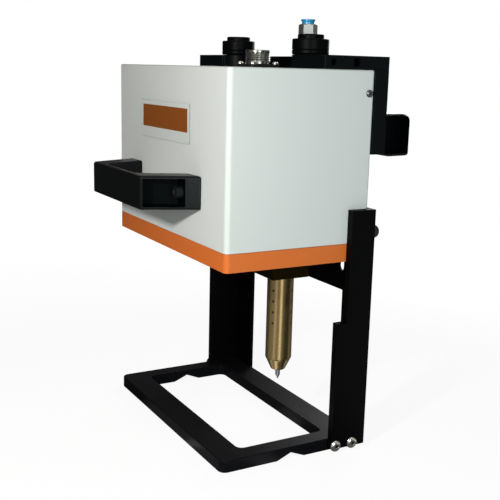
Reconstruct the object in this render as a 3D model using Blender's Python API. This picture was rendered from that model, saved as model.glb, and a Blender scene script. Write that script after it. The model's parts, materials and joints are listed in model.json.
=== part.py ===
# Portable pneumatic marking head on a bolted stand.
# A sheet cover and an orange chassis hold an X and Y slide pair that carries a brass
# stylus with an air driven pin. The front face looks along -Y, Z is up, the stand's
# underside lies on Z = 0, and the origin is under the middle of the whole object.
# Lengths are in metres, angles in degrees.
import math

import bmesh
import bpy
from mathutils import Vector

# Fits
seat_gap = 0.0003
slide_gap = 0.0001
cut_overrun = 0.004
join_depth = 0.0006

# Roundness
round_steps = 24
small_round_steps = 16
corner_steps = 4
smooth_angle = 35.0
merge_distance = 0.000005

# Head casing
box_width = 0.220
box_depth = 0.131
box_corner_radius = 0.006
box_rear_corner_radius = 0.002
chassis_bottom_z = 0.1638
chassis_top_z = 0.1786
cover_top_z = 0.3178
cover_wall = 0.0015
cover_inner_corner = 0.0045
cover_edge_radius = 0.0015
chassis_wall = 0.004
chassis_floor = 0.004
chassis_inner_corner = 0.0015
chassis_window_side_margin = 0.034
chassis_window_front = 0.020
chassis_window_rear_margin = 0.018
chassis_window_corner = 0.006

# Handles
front_handle_reach = 0.045
front_handle_centre_x = -0.004
front_handle_foot_inset = 0.038
front_handle_bar_inset = 0.056
front_handle_foot_width = 0.022
front_handle_bar_thickness = 0.006
front_handle_height = 0.0268
front_handle_rise = 0.0427
rear_handle_reach = 0.052
rear_handle_foot_inset = 0.022
rear_handle_bar_inset = 0.0276
rear_handle_foot_width = 0.028
rear_handle_bar_thickness = 0.021
rear_handle_height = 0.0362
rear_handle_bottom_drop = 0.0720
rear_handle_foot_lift = 0.0053
rear_handle_foot_taper = 0.024
front_handle_corner_radius = 0.004
rear_handle_corner_radius = 0.012
handle_inner_radius = 0.006
handle_pocket_margin_z = 0.0022
handle_pocket_front_margin = 0.0025
handle_pocket_depth = 0.015
handle_screw_seat = 0.0117
handle_screw_inset = 0.0073
handle_screw_radius = 0.003
handle_screw_head_radius = 0.005
handle_screw_head_height = 0.006
handle_screw_reach = 0.0075
handle_screw_socket_radius = 0.0027
handle_screw_socket_depth = 0.003
front_handle_top_round = 0.0022
front_handle_bottom_round = 0.0016
rear_handle_top_round = 0.0065
rear_handle_bottom_round = 0.002
backing_strip_inset = 0.038
backing_strip_height = 0.015
backing_strip_thickness = 0.0035

# Rear plate and the plate on top
back_plate_thickness = 0.0137
back_plate_bottom_drop = 0.0670
top_plate_thickness = 0.0104
top_plate_ear_depth = 0.048
top_plate_ear_width = 0.049
plate_edge = 0.0003
top_plate_hole_front_radius = 0.0026
top_plate_hole_rear_radius = 0.0037
top_plate_hole_front_inset = 0.0398
top_plate_hole_rear_inset = 0.018
top_plate_hole_depth = 0.009
inner_back_thickness = 0.008
inner_back_top_drop = 0.0088
inner_back_corner = 0.005

# Name plate
name_plate_left = -0.056
name_plate_right = 0.046
name_plate_bottom_drop = 0.0618
name_plate_top_drop = 0.0298
name_plate_thickness = 0.001
name_plate_corner = 0.001

# Cover screws
cover_screw_inset = 0.0048
cover_screw_drop = 0.0183
cover_screw_radius = 0.0015
cover_screw_head_radius = 0.0031
cover_screw_head_height = 0.0019
cover_screw_length = 0.012
cover_screw_socket_radius = 0.0011
cover_screw_socket_depth = 0.001
cover_screw_rim_share = 0.33
cover_screw_crown_share = 0.72

# Start buttons
button_side_inset = 0.0478
button_rear_inset = 0.0308
button_bezel_radius = 0.0154
button_bezel_height = 0.0127
button_bezel_chamfer = 0.0012
button_boss_radius = 0.0148
button_boss_steps = 14
button_barrel_radius = 0.0111
button_barrel_drop = 0.0198
button_bore_radius = 0.0109
button_bore_depth = 0.0085
button_stem_radius = 0.0045
button_cap_rise = 0.0037
button_cap_base = 0.0036
button_cap_round = 0.001
button_stem_tail = 0.002

# Electrical connector
connector_x = 0.0
connector_rear_inset = 0.045
connector_flange = 0.029
connector_flange_corner = 0.003
connector_flange_thickness = 0.0025
connector_radius = 0.011
connector_height = 0.0145
connector_lip = 0.001
connector_cavity_radius = 0.0095
connector_cavity_floor = 0.003
connector_tail_radius = 0.010
connector_tail_depth = 0.0118
connector_bore_radius = 0.008
connector_insert_rise = 0.0035

# Air fitting
fitting_side_inset = 0.075
fitting_rear_inset = 0.0165
fitting_stem_radius = 0.006
fitting_stem_depth = 0.015
fitting_base_flat = 0.017
fitting_base_height = 0.006
fitting_neck_radius = 0.0064
fitting_hex_flat = 0.014
hexagon_turn = 30.0
fitting_hex_height = 0.0148
fitting_height = 0.0367
fitting_socket_radius = 0.0055
fitting_socket_depth = 0.012
fitting_bore_radius = 0.003
fitting_nut_height = 0.0055
collet_flange_radius = 0.0061
collet_flange_thickness = 0.0019
collet_rise = 0.0019
collet_depth = 0.0098
collet_bore_radius = 0.004

# Rails, shafts and the moving slides
rail_side_inset = 0.005
rail_thickness = 0.007
rail_top_z = 0.2033
shaft_radius = 0.004
shaft_end_inset = 0.001
y_shaft_side_inset = 0.017
y_shaft_z = 0.180
carriage_rear_inset = 0.0435
end_block_inner_inset = 0.028
end_block_outer_inset = 0.005
end_block_half_depth = 0.020
end_block_bottom_z = 0.172
end_block_top_z = 0.202
x_shaft_spread = 0.011
x_shaft_z = 0.193
x_shaft_seat = 0.017
bridge_thickness = 0.006
bridge_bottom_z = 0.186
x_carriage_side_inset = 0.062
x_carriage_half_width = 0.020
x_carriage_half_depth = 0.018
x_carriage_bottom_z = 0.183
x_carriage_top_z = 0.202

# Drive screws and motors
screw_radius = 0.004
journal_radius = 0.003
collar_radius = 0.007
motor_side = 0.028
motor_corner = 0.003
motor_shaft_radius = 0.0025
motor_shaft_reach = 0.010
motor_plate = 0.0034
motor_plate_hole = 0.0045
x_screw_z = 0.219
x_motor_outer_inset = 0.0038
x_motor_inner_inset = 0.034
x_collar_length = 0.011
x_nut_half_width = 0.006
x_nut_half_depth = 0.012
x_nut_rise = 0.012
x_bearing_inner_inset = 0.0275
x_bearing_outer_inset = 0.0195
x_bearing_half_depth = 0.010
x_bearing_rise = 0.0055
bracket_shelf = 0.0024
y_screw_side_inset = 0.018
y_screw_z = 0.240
y_motor_front_inset = 0.041
y_motor_rear_inset = 0.0115
y_collar_length = 0.005
y_nut_front = 0.0195
y_nut_rear = 0.0115
y_nut_half_width = 0.008
y_nut_rise = 0.008
y_bearing_half_width = 0.009
y_bearing_rise = 0.009

# Air valve
valve_left = -0.056
valve_right = -0.016
valve_coil_right = -0.034
valve_front_inset = 0.036
valve_bottom_drop = 0.0558
valve_base_top_drop = 0.0438
valve_coil_top_drop = 0.0218
valve_edge = 0.0006

# Stylus
holder_width = 0.034
holder_depth = 0.036
holder_bottom_z = 0.1415
holder_bore_top_z = 0.175
holder_edge = 0.0006
stylus_radius = 0.0116
stylus_shoulder_z = 0.067
stylus_joint_z = 0.0664
stylus_joint_radius = 0.0111
stylus_top_z = 0.1747
stylus_bore_radius = 0.0074
stylus_bore_top_z = 0.1445
stylus_air_radius = 0.002
vent_radius = 0.0011
vent_top_z = 0.1294
vent_pitch = 0.00975
vent_rows = 4
vent_angle = 28.0
nose_knee_z = 0.0562
nose_knee_radius = 0.0064
nose_tip_z = 0.0544
nose_tip_radius = 0.0030
nose_spigot_top_z = 0.072
pin_radius = 0.0021
pin_tip_z = 0.046
pin_tip_length = 0.004
pin_point_radius = 0.0003
piston_bottom_z = 0.130
piston_top_z = 0.144
spring_radius = 0.0050
spring_wire_radius = 0.0006
spring_turns = 9
spring_turn_steps = 10
spring_wire_steps = 6

# Stand
stand_thickness = 0.0105
stand_corner = 0.0065
stand_side_rail_width = 0.016
stand_window_front = 0.024
stand_rear_rail_width = 0.024
stand_window_corner = 0.006
notch_rear_inset = 0.066
notch_half_width = 0.0135
notch_depth = 0.0055
post_thickness = 0.0067
post_depth_low = 0.030
post_depth_high = 0.020
post_step_z = 0.1135
post_bottom_z = 0.003
post_top_z = 0.207
foot_screw_front_inset = 0.0267
foot_screw_rear_inset = 0.0102
foot_screw_z = 0.0065
foot_screw_radius = 0.0025
foot_screw_head_radius = 0.0046
foot_screw_head_height = 0.0027
foot_screw_length = 0.016
foot_screw_socket_radius = 0.0016
foot_screw_socket_depth = 0.0014
foot_screw_rise_shares = (0.3, 0.75)
foot_screw_crown_shares = (0.86, 0.6)
rear_frame_thickness = 0.003
rear_frame_leg_width = 0.031
rear_frame_beam_bottom_z = 0.1305
rear_frame_slot_inner_inset = 0.0385
rear_frame_slot_outer_inset = 0.0302
rear_frame_slot_bottom_z = 0.1475
rear_frame_slot_top_z = 0.176
rear_frame_slot_corner = 0.0035
knob_side_inset = 0.007
knob_z = 0.186
knob_radius = 0.0056
knob_length = 0.0126
knob_edge = 0.0030
knob_stud_radius = 0.003
knob_stud_length = 0.0128

# Positions worked out from the sizes above
back_plate_front = box_depth + seat_gap
back_plate_rear = back_plate_front + back_plate_thickness
overall_depth = (front_handle_reach + seat_gap + back_plate_rear
                 + seat_gap + rear_handle_reach)
front_y = -overall_depth / 2 + front_handle_reach + seat_gap
box_half = box_width / 2
front_handle_foot_half = box_half - front_handle_foot_inset
front_handle_bar_half = box_half - front_handle_bar_inset
rear_handle_foot_half = box_half - rear_handle_foot_inset
rear_handle_bar_half = box_half - rear_handle_bar_inset
backing_strip_half = box_half - backing_strip_inset
button_x = box_half - button_side_inset
top_plate_ear_inner = box_half - top_plate_ear_width
fitting_x = box_half - fitting_side_inset
rail_half = box_half - rail_side_inset
y_shaft_x = box_half - y_shaft_side_inset
end_block_inner = box_half - end_block_inner_inset
end_block_outer = box_half - end_block_outer_inset
x_carriage_x = box_half - x_carriage_side_inset
x_motor_outer = box_half - x_motor_outer_inset
x_motor_inner = box_half - x_motor_inner_inset
x_bearing_inner = box_half - x_bearing_inner_inset
x_bearing_outer = box_half - x_bearing_outer_inset
y_screw_x = box_half - y_screw_side_inset
stand_window_half = box_half - stand_side_rail_width
rear_frame_leg_inner = box_half - rear_frame_leg_width
rear_frame_slot_inner = box_half - rear_frame_slot_inner_inset
rear_frame_slot_outer = box_half - rear_frame_slot_outer_inset
knob_x = box_half - knob_side_inset
chassis_window_rear = box_depth - chassis_window_rear_margin
top_plate_front = box_depth - top_plate_ear_depth
top_plate_hole_front_y = box_depth - top_plate_hole_front_inset
top_plate_hole_rear_y = box_depth - top_plate_hole_rear_inset
cover_screw_y = box_depth - cover_screw_inset
button_y = box_depth - button_rear_inset
connector_y = box_depth - connector_rear_inset
fitting_y = box_depth - fitting_rear_inset
carriage_y = box_depth - carriage_rear_inset
y_motor_front = box_depth - y_motor_front_inset
y_motor_rear = box_depth - y_motor_rear_inset
valve_front = box_depth - valve_front_inset
stand_window_rear = box_depth - stand_rear_rail_width
notch_y = box_depth - notch_rear_inset
post_front_low = box_depth - post_depth_low
post_front_high = box_depth - post_depth_high
foot_screw_front_y = box_depth - foot_screw_front_inset
foot_screw_rear_y = box_depth - foot_screw_rear_inset
rear_handle_bottom_z = cover_top_z - rear_handle_bottom_drop
back_plate_bottom_z = cover_top_z - back_plate_bottom_drop
inner_back_top_z = cover_top_z - inner_back_top_drop
name_plate_bottom_z = cover_top_z - name_plate_bottom_drop
name_plate_top_z = cover_top_z - name_plate_top_drop
cover_screw_z = cover_top_z - cover_screw_drop
button_barrel_bottom_z = cover_top_z - button_barrel_drop
valve_bottom_z = cover_top_z - valve_bottom_drop
valve_base_top_z = cover_top_z - valve_base_top_drop
valve_coil_top_z = cover_top_z - valve_coil_top_drop
chassis_window_width = box_width - 2 * chassis_window_side_margin
post_rear = box_depth + seat_gap + rear_frame_thickness
front_handle_bottom_z = chassis_bottom_z + front_handle_rise
y_nut_top_z = y_screw_z + y_nut_rise
x_nut_top_z = x_screw_z + x_nut_rise
x_bearing_top_z = x_screw_z + x_bearing_rise
y_bearing_top_z = y_screw_z + y_bearing_rise
box_corner_radii = [box_corner_radius] * 2 + [box_rear_corner_radius] * 2
cover_bottom_z = chassis_top_z + seat_gap
cover_inner_top_z = cover_top_z - cover_wall
top_plate_bottom_z = cover_top_z + seat_gap
fitting_top_z = top_plate_bottom_z + fitting_height
fitting_hex_bottom_z = fitting_top_z - fitting_hex_height
top_plate_top_z = top_plate_bottom_z + top_plate_thickness
floor_top_z = chassis_bottom_z + chassis_floor
rail_bottom_z = floor_top_z + seat_gap
front_rail_front = chassis_wall + seat_gap
rear_rail_rear = box_depth - chassis_wall - seat_gap
inner_back_rear = box_depth - cover_wall - seat_gap
inner_back_front = inner_back_rear - inner_back_thickness


def along(distance):
    """Y position of a point that lies a distance behind the casing's front face."""
    return front_y + distance


# Mesh building
def rounded_outline(points, radii):
    """Closed outline with each corner replaced by an arc of its own radius."""
    outline = []
    count = len(points)
    for index in range(count):
        corner = Vector(points[index])
        radius = radii[index] if isinstance(radii, (list, tuple)) else radii
        if radius <= 0:
            outline.append((corner.x, corner.y))
            continue
        to_last = (Vector(points[index - 1]) - corner).normalized()
        to_next = (Vector(points[(index + 1) % count]) - corner).normalized()
        half_angle = to_last.angle(to_next) / 2
        reach = radius / math.tan(half_angle)
        centre = corner + (to_last + to_next).normalized() * radius / math.sin(half_angle)
        start = corner + to_last * reach - centre
        turn = (corner + to_next * reach - centre).angle_signed(start)
        for step in range(corner_steps + 1):
            angle = turn * step / corner_steps
            cosine = math.cos(angle)
            sine = math.sin(angle)
            outline.append((centre.x + start.x * cosine - start.y * sine,
                            centre.y + start.x * sine + start.y * cosine))
    return outline


def rectangle(low_u, low_v, high_u, high_v):
    """Corners of a rectangle, anticlockwise."""
    return [(low_u, low_v), (high_u, low_v), (high_u, high_v), (low_u, high_v)]


def circle(centre_u, centre_v, radius, steps, turn=0.0):
    """Corners of a regular polygon, the first one at the given turn."""
    points = []
    for step in range(steps):
        angle = math.radians(turn) + 2 * math.pi * step / steps
        points.append((centre_u + radius * math.cos(angle), centre_v + radius * math.sin(angle)))
    return points


def to_space(axis, u, v, w):
    """Point from outline coordinates u and v and a height w along the axis."""
    if axis == "X":
        return Vector((w, u, v))
    if axis == "Y":
        return Vector((u, w, v))
    return Vector((u, v, w))


def add_prism(bm, axis, outline, start, end):
    """Straight prism on an outline, from one height along the axis to another."""
    verts = [bm.verts.new(to_space(axis, u, v, start)) for u, v in outline]
    face = bm.faces.new(verts)
    pushed = bmesh.ops.extrude_face_region(bm, geom=[face])
    moved = [item for item in pushed["geom"] if isinstance(item, bmesh.types.BMVert)]
    bmesh.ops.translate(bm, verts=moved, vec=to_space(axis, 0, 0, end - start))
    return moved


def add_rod(bm, axis, centre_u, centre_v, radius, start, end, steps=round_steps):
    """Round bar along the axis."""
    outline = circle(centre_u, centre_v, radius, steps, 180.0 / steps)
    return add_prism(bm, axis, outline, start, end)


def add_turning(bm, axis, centre_u, centre_v, profile, steps=round_steps, closed=False):
    """Turned body from a profile of radius and height along the axis."""
    first = math.pi / steps
    verts = []
    for radius, height in profile:
        u = centre_u + radius * math.cos(first)
        v = centre_v + radius * math.sin(first)
        verts.append(bm.verts.new(to_space(axis, u, v, height)))
    pairs = list(zip(verts, verts[1:]))
    if closed:
        pairs.append((verts[-1], verts[0]))
    edges = [bm.edges.new(pair) for pair in pairs]
    spun = bmesh.ops.spin(bm, geom=verts + edges, cent=to_space(axis, centre_u, centre_v, 0),
                          axis=to_space(axis, 0, 0, 1), angle=2 * math.pi, steps=steps,
                          use_merge=True)
    bmesh.ops.remove_doubles(bm, verts=bm.verts[:], dist=merge_distance)
    return spun


def finish_mesh(bm, name):
    """Mesh with its faces turned outward."""
    bmesh.ops.dissolve_degenerate(bm, edges=bm.edges[:], dist=merge_distance)
    bmesh.ops.recalc_face_normals(bm, faces=bm.faces[:])
    mesh = bpy.data.meshes.new(name)
    bm.to_mesh(mesh)
    bm.free()
    return mesh


def make_piece(name, bm, material, origin=(0, 0, 0), smooth=True):
    """Scene object for a finished piece, with its origin where asked."""
    bmesh.ops.translate(bm, verts=bm.verts[:], vec=-Vector(origin))
    mesh = finish_mesh(bm, name)
    mesh.materials.append(material)
    if smooth:
        mesh.shade_smooth()
        mesh.set_sharp_from_angle(angle=math.radians(smooth_angle))
    piece = bpy.data.objects.new(name, mesh)
    piece.location = origin
    bpy.context.scene.collection.objects.link(piece)
    return piece


def combine(piece, bm, operation, label):
    """Cuts away or adds the shape in bm."""
    mesh = finish_mesh(bm, piece.name + "_" + label)
    tool = bpy.data.objects.new(piece.name + "_" + label, mesh)
    tool.hide_render = True
    tool.display_type = "WIRE"
    bpy.context.scene.collection.objects.link(tool)
    modifier = piece.modifiers.new(label, "BOOLEAN")
    modifier.operation = operation
    modifier.solver = "EXACT"
    modifier.object = tool
    return piece


def cut(piece, bm, label="cut"):
    """Cuts the shape in bm out of the piece."""
    return combine(piece, bm, "DIFFERENCE", label)


def join(piece, bm, label="join"):
    """Adds the overlapping shape in bm to the piece."""
    return combine(piece, bm, "UNION", label)


def round_edges(piece, width, segments=2, angle=50.0):
    """Rounds every edge sharper than the angle."""
    modifier = piece.modifiers.new("edges", "BEVEL")
    modifier.width = width
    modifier.segments = segments
    modifier.limit_method = "ANGLE"
    modifier.angle_limit = math.radians(angle)
    return piece


def box_prism(name, material, low, high, edge=0.0):
    """Plain block between two corners."""
    bm = bmesh.new()
    add_prism(bm, "Z", rectangle(low[0], low[1], high[0], high[1]), low[2], high[2])
    piece = make_piece(name, bm, material, smooth=False)
    if edge > 0:
        round_edges(piece, edge, 1)
    return piece


# Materials
def make_material(name, colour, roughness, metallic):
    """Principled material."""
    material = bpy.data.materials.new(name)
    material.use_nodes = True
    shader = material.node_tree.nodes["Principled BSDF"]
    shader.inputs["Base Color"].default_value = (*colour, 1.0)
    shader.inputs["Roughness"].default_value = roughness
    shader.inputs["Metallic"].default_value = metallic
    material.diffuse_color = (*colour, 1.0)
    return material


def white_paint():
    return make_material("white_paint", (0.74, 0.75, 0.71), 0.45, 0.0)


def orange_paint():
    return make_material("orange_paint", (0.70, 0.22, 0.04), 0.45, 0.0)


def black_anodised():
    return make_material("black_anodised", (0.022, 0.023, 0.025), 0.5, 0.2)


def black_plastic():
    return make_material("black_plastic", (0.025, 0.026, 0.028), 0.42, 0.0)


def aluminium():
    return make_material("aluminium", (0.72, 0.73, 0.74), 0.35, 1.0)


def bright_steel():
    return make_material("bright_steel", (0.66, 0.66, 0.67), 0.25, 1.0)


def dark_steel():
    return make_material("dark_steel", (0.08, 0.08, 0.085), 0.4, 0.8)


def brass():
    return make_material("brass", (0.62, 0.42, 0.16), 0.3, 1.0)


def nickel():
    return make_material("nickel", (0.60, 0.59, 0.54), 0.3, 1.0)


def bronze():
    return make_material("dark_bronze", (0.10, 0.075, 0.05), 0.45, 0.6)


def blue_plastic():
    return make_material("blue_plastic", (0.03, 0.30, 0.62), 0.35, 0.0)


def motor_black():
    return make_material("motor_black", (0.035, 0.035, 0.038), 0.55, 0.3)


# Casing
def build_chassis(material):
    """Painted tray that carries the slides, open in the middle for the stylus."""
    bm = bmesh.new()
    outer = rectangle(-box_half, along(0), box_half, along(box_depth))
    add_prism(bm, "Z", rounded_outline(outer, box_corner_radii), chassis_bottom_z, chassis_top_z)
    piece = make_piece("chassis", bm, material)
    tray = bmesh.new()
    inner = rectangle(-box_half + chassis_wall, along(chassis_wall),
                      box_half - chassis_wall, along(box_depth - chassis_wall))
    add_prism(tray, "Z", rounded_outline(inner, chassis_inner_corner), floor_top_z,
              chassis_top_z + cut_overrun)
    cut(piece, tray, "tray")
    window = bmesh.new()
    opening = rectangle(-chassis_window_width / 2, along(chassis_window_front),
                        chassis_window_width / 2, along(chassis_window_rear))
    add_prism(window, "Z", rounded_outline(opening, chassis_window_corner),
              chassis_bottom_z - cut_overrun, floor_top_z + cut_overrun)
    return cut(piece, window, "window")


def round_top_edges(bm, top_verts, width, segments):
    """Rounds the edges around a flat end."""
    edges = [edge for edge in bm.edges
             if edge.verts[0] in top_verts and edge.verts[1] in top_verts]
    bmesh.ops.bevel(bm, geom=edges, offset=width, segments=segments, profile=0.5,
                    affect="EDGES")


def cover_holes():
    """Holes through the cover for everything that passes its walls."""
    bm = bmesh.new()
    above = cover_top_z + cut_overrun
    below = cover_inner_top_z - cut_overrun
    add_rod(bm, "Z", connector_x, along(connector_y), connector_tail_radius + seat_gap, below, above)
    add_rod(bm, "Z", fitting_x, along(fitting_y), fitting_stem_radius + seat_gap, below, above,
            small_round_steps)
    for side in (-1, 1):
        add_rod(bm, "Z", side * button_x, along(button_y), button_barrel_radius + seat_gap,
                below, above)
        add_rod(bm, "Y", front_handle_centre_x + side * handle_screw_x(front_handle_sizes()),
                front_handle_bottom_z + front_handle_height / 2, handle_screw_radius + seat_gap,
                along(-cut_overrun), along(cover_wall + cut_overrun), small_round_steps)
        add_rod(bm, "X", along(cover_screw_y), cover_screw_z, cover_screw_radius + seat_gap,
                side * (box_half - cover_wall - cut_overrun), side * (box_half + cut_overrun),
                small_round_steps)
        add_rod(bm, "Y", side * knob_x, knob_z, knob_stud_radius + seat_gap,
                along(box_depth - cover_wall - cut_overrun), along(box_depth + cut_overrun),
                small_round_steps)
    return bm


def build_cover(material):
    """Sheet cover, open underneath."""
    bm = bmesh.new()
    outer = rectangle(-box_half, along(0), box_half, along(box_depth))
    top = add_prism(bm, "Z", rounded_outline(outer, box_corner_radii), cover_bottom_z, cover_top_z)
    round_top_edges(bm, set(top), cover_edge_radius, 2)
    piece = make_piece("cover", bm, material)
    inside = bmesh.new()
    inner = rectangle(-box_half + cover_wall, along(cover_wall),
                      box_half - cover_wall, along(box_depth - cover_wall))
    add_prism(inside, "Z", rounded_outline(inner, cover_inner_corner),
              cover_bottom_z - cut_overrun, cover_inner_top_z)
    cut(piece, inside, "inside")
    return cut(piece, cover_holes(), "holes")


def build_inner_back_plate(material):
    """Plate inside the cover that the rear plate and the drives hang on."""
    bm = bmesh.new()
    half = box_half - cover_wall - seat_gap
    outline = rounded_outline(rectangle(-half, along(inner_back_front), half,
                                        along(inner_back_rear)), [0, 0, inner_back_corner,
                                                                  inner_back_corner])
    add_prism(bm, "Z", outline, rail_top_z + seat_gap, inner_back_top_z)
    piece = make_piece("inner_back_plate", bm, material)
    holes = bmesh.new()
    for side in (-1, 1):
        add_rod(holes, "X", along(cover_screw_y), cover_screw_z, cover_screw_radius + seat_gap,
                side * (box_half - cover_screw_length - seat_gap),
                side * (half + cut_overrun), small_round_steps)
    return cut(piece, holes, "holes")


def build_cover_screw(name, side, material):
    """Button head screw in the side of the cover."""
    bm = bmesh.new()
    seat = box_half + seat_gap
    head = seat + cover_screw_head_height
    profile = [(0, box_half - cover_screw_length + seat_gap),
               (cover_screw_radius, box_half - cover_screw_length + seat_gap),
               (cover_screw_radius, seat),
               (cover_screw_head_radius, seat),
               (cover_screw_head_radius, seat + cover_screw_head_height * cover_screw_rim_share),
               (cover_screw_head_radius * cover_screw_crown_share, head),
               (cover_screw_socket_radius, head),
               (cover_screw_socket_radius, head - cover_screw_socket_depth),
               (0, head - cover_screw_socket_depth)]
    profile = [(radius, side * height) for radius, height in profile]
    add_turning(bm, "X", along(cover_screw_y), cover_screw_z, profile, small_round_steps)
    return make_piece(name, bm, material)


# Handles
def front_handle_sizes():
    """Sizes of the handle on the front face."""
    return {"foot_half": front_handle_foot_half, "bar_half": front_handle_bar_half,
            "foot_width": front_handle_foot_width, "bar": front_handle_bar_thickness,
            "reach": front_handle_reach, "height": front_handle_height,
            "bottom_z": front_handle_bottom_z, "top_round": front_handle_top_round,
            "bottom_round": front_handle_bottom_round, "centre_x": front_handle_centre_x,
            "corner": front_handle_corner_radius, "wall": along(-seat_gap), "out": -1}


def rear_handle_sizes():
    """Sizes of the handle on the rear plate."""
    return {"foot_half": rear_handle_foot_half, "bar_half": rear_handle_bar_half,
            "foot_width": rear_handle_foot_width, "bar": rear_handle_bar_thickness,
            "reach": rear_handle_reach, "height": rear_handle_height,
            "bottom_z": rear_handle_bottom_z, "top_round": rear_handle_top_round,
            "bottom_round": rear_handle_bottom_round, "centre_x": 0.0,
            "corner": rear_handle_corner_radius, "wall": along(back_plate_rear + seat_gap),
            "out": 1}


def handle_slope(sizes):
    """Sideways shift of a leg for each unit of reach."""
    return (sizes["foot_half"] - sizes["bar_half"]) / sizes["reach"]


def handle_screw_x(sizes):
    """Distance of a fixing screw from the handle's middle."""
    outer_face = sizes["foot_half"] - handle_slope(sizes) * handle_screw_seat
    return outer_face - handle_screw_inset


def handle_outline(sizes):
    """Plan of the handle: two slanting legs and a bar."""
    slope = handle_slope(sizes)
    inner_reach = sizes["reach"] - sizes["bar"]
    inner_foot = sizes["foot_half"] - sizes["foot_width"]
    inner_bar = inner_foot - slope * inner_reach
    outer = [(sizes["foot_half"], 0, 0), (sizes["bar_half"], sizes["reach"], sizes["corner"])]
    inner = [(inner_bar, inner_reach, handle_inner_radius), (inner_foot, 0, 0)]
    outer_left = [(-x, y, r) for x, y, r in reversed(outer)]
    inner_left = [(-x, y, r) for x, y, r in reversed(inner)]
    points = outer + outer_left + inner_left + inner
    placed = [(sizes["centre_x"] + x, sizes["wall"] + sizes["out"] * y) for x, y, r in points]
    return rounded_outline(placed, [r for x, y, r in points])


def pocket_outline(sizes, side):
    """Plan of the pocket in a leg's outer face, which ends at the screw's seat."""
    slope = handle_slope(sizes)
    length = math.hypot(1, slope)
    run = Vector((slope / length, -1 / length))
    inward = Vector((-1 / length, -slope / length))
    corner = Vector((sizes["bar_half"], sizes["reach"]))
    start = corner + run * handle_pocket_front_margin
    mouth = start - inward * cut_overrun
    floor = start + inward * handle_pocket_depth
    floor_end = floor + run * (floor.y - handle_screw_seat) / -run.y
    outside = sizes["foot_half"] + cut_overrun
    points = [mouth, floor, floor_end, Vector((outside, handle_screw_seat))]
    return [(sizes["centre_x"] + side * point.x, sizes["wall"] + sizes["out"] * point.y)
            for point in points]


def build_handle(name, sizes, material):
    """Bridge handle with pocketed legs."""
    bm = bmesh.new()
    bottom_z = sizes["bottom_z"]
    top_z = bottom_z + sizes["height"]
    top = add_prism(bm, "Z", handle_outline(sizes), bottom_z, top_z)
    top_set = set(top)
    bottom_set = set(vert for vert in bm.verts if vert not in top_set)
    wall = sizes["wall"]

    def rim(group):
        return [edge for edge in bm.edges if edge.verts[0] in group and edge.verts[1] in group
                and not all(abs(vert.co.y - wall) < slide_gap for vert in edge.verts)]
    top_edges = rim(top_set)
    bottom_edges = rim(bottom_set)
    bmesh.ops.bevel(bm, geom=top_edges, offset=sizes["top_round"], segments=3, profile=0.5,
                    affect="EDGES")
    bottom_edges = [edge for edge in bottom_edges if edge.is_valid]
    bmesh.ops.bevel(bm, geom=bottom_edges, offset=sizes["bottom_round"], segments=2, profile=0.5,
                    affect="EDGES")
    piece = make_piece(name, bm, material)
    pockets = bmesh.new()
    for side in (-1, 1):
        add_prism(pockets, "Z", pocket_outline(sizes, side), bottom_z + handle_pocket_margin_z,
                  top_z - handle_pocket_margin_z)
    cut(piece, pockets, "pockets")
    holes = bmesh.new()
    for side in (-1, 1):
        add_rod(holes, "Y", sizes["centre_x"] + side * handle_screw_x(sizes),
                bottom_z + sizes["height"] / 2, handle_screw_radius + seat_gap,
                wall - sizes["out"] * cut_overrun,
                wall + sizes["out"] * (handle_screw_seat + cut_overrun), small_round_steps)
    return cut(piece, holes, "holes")


def build_rear_handle(material):
    """Bridge handle whose feet rise toward the rear plate's lower edge."""
    sizes = rear_handle_sizes()
    piece = build_handle("rear_handle", sizes, material)
    bottom_z = sizes["bottom_z"]
    inside = sizes["wall"] - cut_overrun
    wedge = bmesh.new()
    add_prism(wedge, "X", [(inside, bottom_z - cut_overrun),
                           (sizes["wall"] + rear_handle_foot_taper, bottom_z - cut_overrun),
                           (sizes["wall"] + rear_handle_foot_taper, bottom_z),
                           (sizes["wall"], bottom_z + rear_handle_foot_lift),
                           (inside, bottom_z + rear_handle_foot_lift)], -box_half, box_half)
    return cut(piece, wedge, "foot_taper")


def build_handle_screw(name, sizes, side, material):
    """Socket head screw that holds a handle's foot."""
    bm = bmesh.new()
    wall = sizes["wall"]
    seat = handle_screw_seat + seat_gap
    head = seat + handle_screw_head_height
    profile = [(0, -handle_screw_reach), (handle_screw_radius, -handle_screw_reach),
               (handle_screw_radius, seat), (handle_screw_head_radius, seat),
               (handle_screw_head_radius, head), (handle_screw_socket_radius, head),
               (handle_screw_socket_radius, head - handle_screw_socket_depth),
               (0, head - handle_screw_socket_depth)]
    profile = [(radius, wall + sizes["out"] * height) for radius, height in profile]
    add_turning(bm, "Y", sizes["centre_x"] + side * handle_screw_x(sizes),
                sizes["bottom_z"] + sizes["height"] / 2, profile, small_round_steps)
    return make_piece(name, bm, material)


def build_backing_strip(material):
    """Tapped strip inside the front wall behind the handle."""
    bm = bmesh.new()
    middle_z = front_handle_bottom_z + front_handle_height / 2
    front = cover_wall + seat_gap
    add_prism(bm, "Y", rectangle(front_handle_centre_x - backing_strip_half,
                                 middle_z - backing_strip_height / 2,
                                 front_handle_centre_x + backing_strip_half,
                                 middle_z + backing_strip_height / 2),
              along(front), along(front + backing_strip_thickness))
    piece = make_piece("handle_backing_strip", bm, material, smooth=False)
    holes = bmesh.new()
    for side in (-1, 1):
        add_rod(holes, "Y", front_handle_centre_x + side * handle_screw_x(front_handle_sizes()),
                middle_z, handle_screw_radius + seat_gap, along(front - cut_overrun),
                along(front + backing_strip_thickness + cut_overrun), small_round_steps)
    return cut(piece, holes, "holes")


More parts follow.
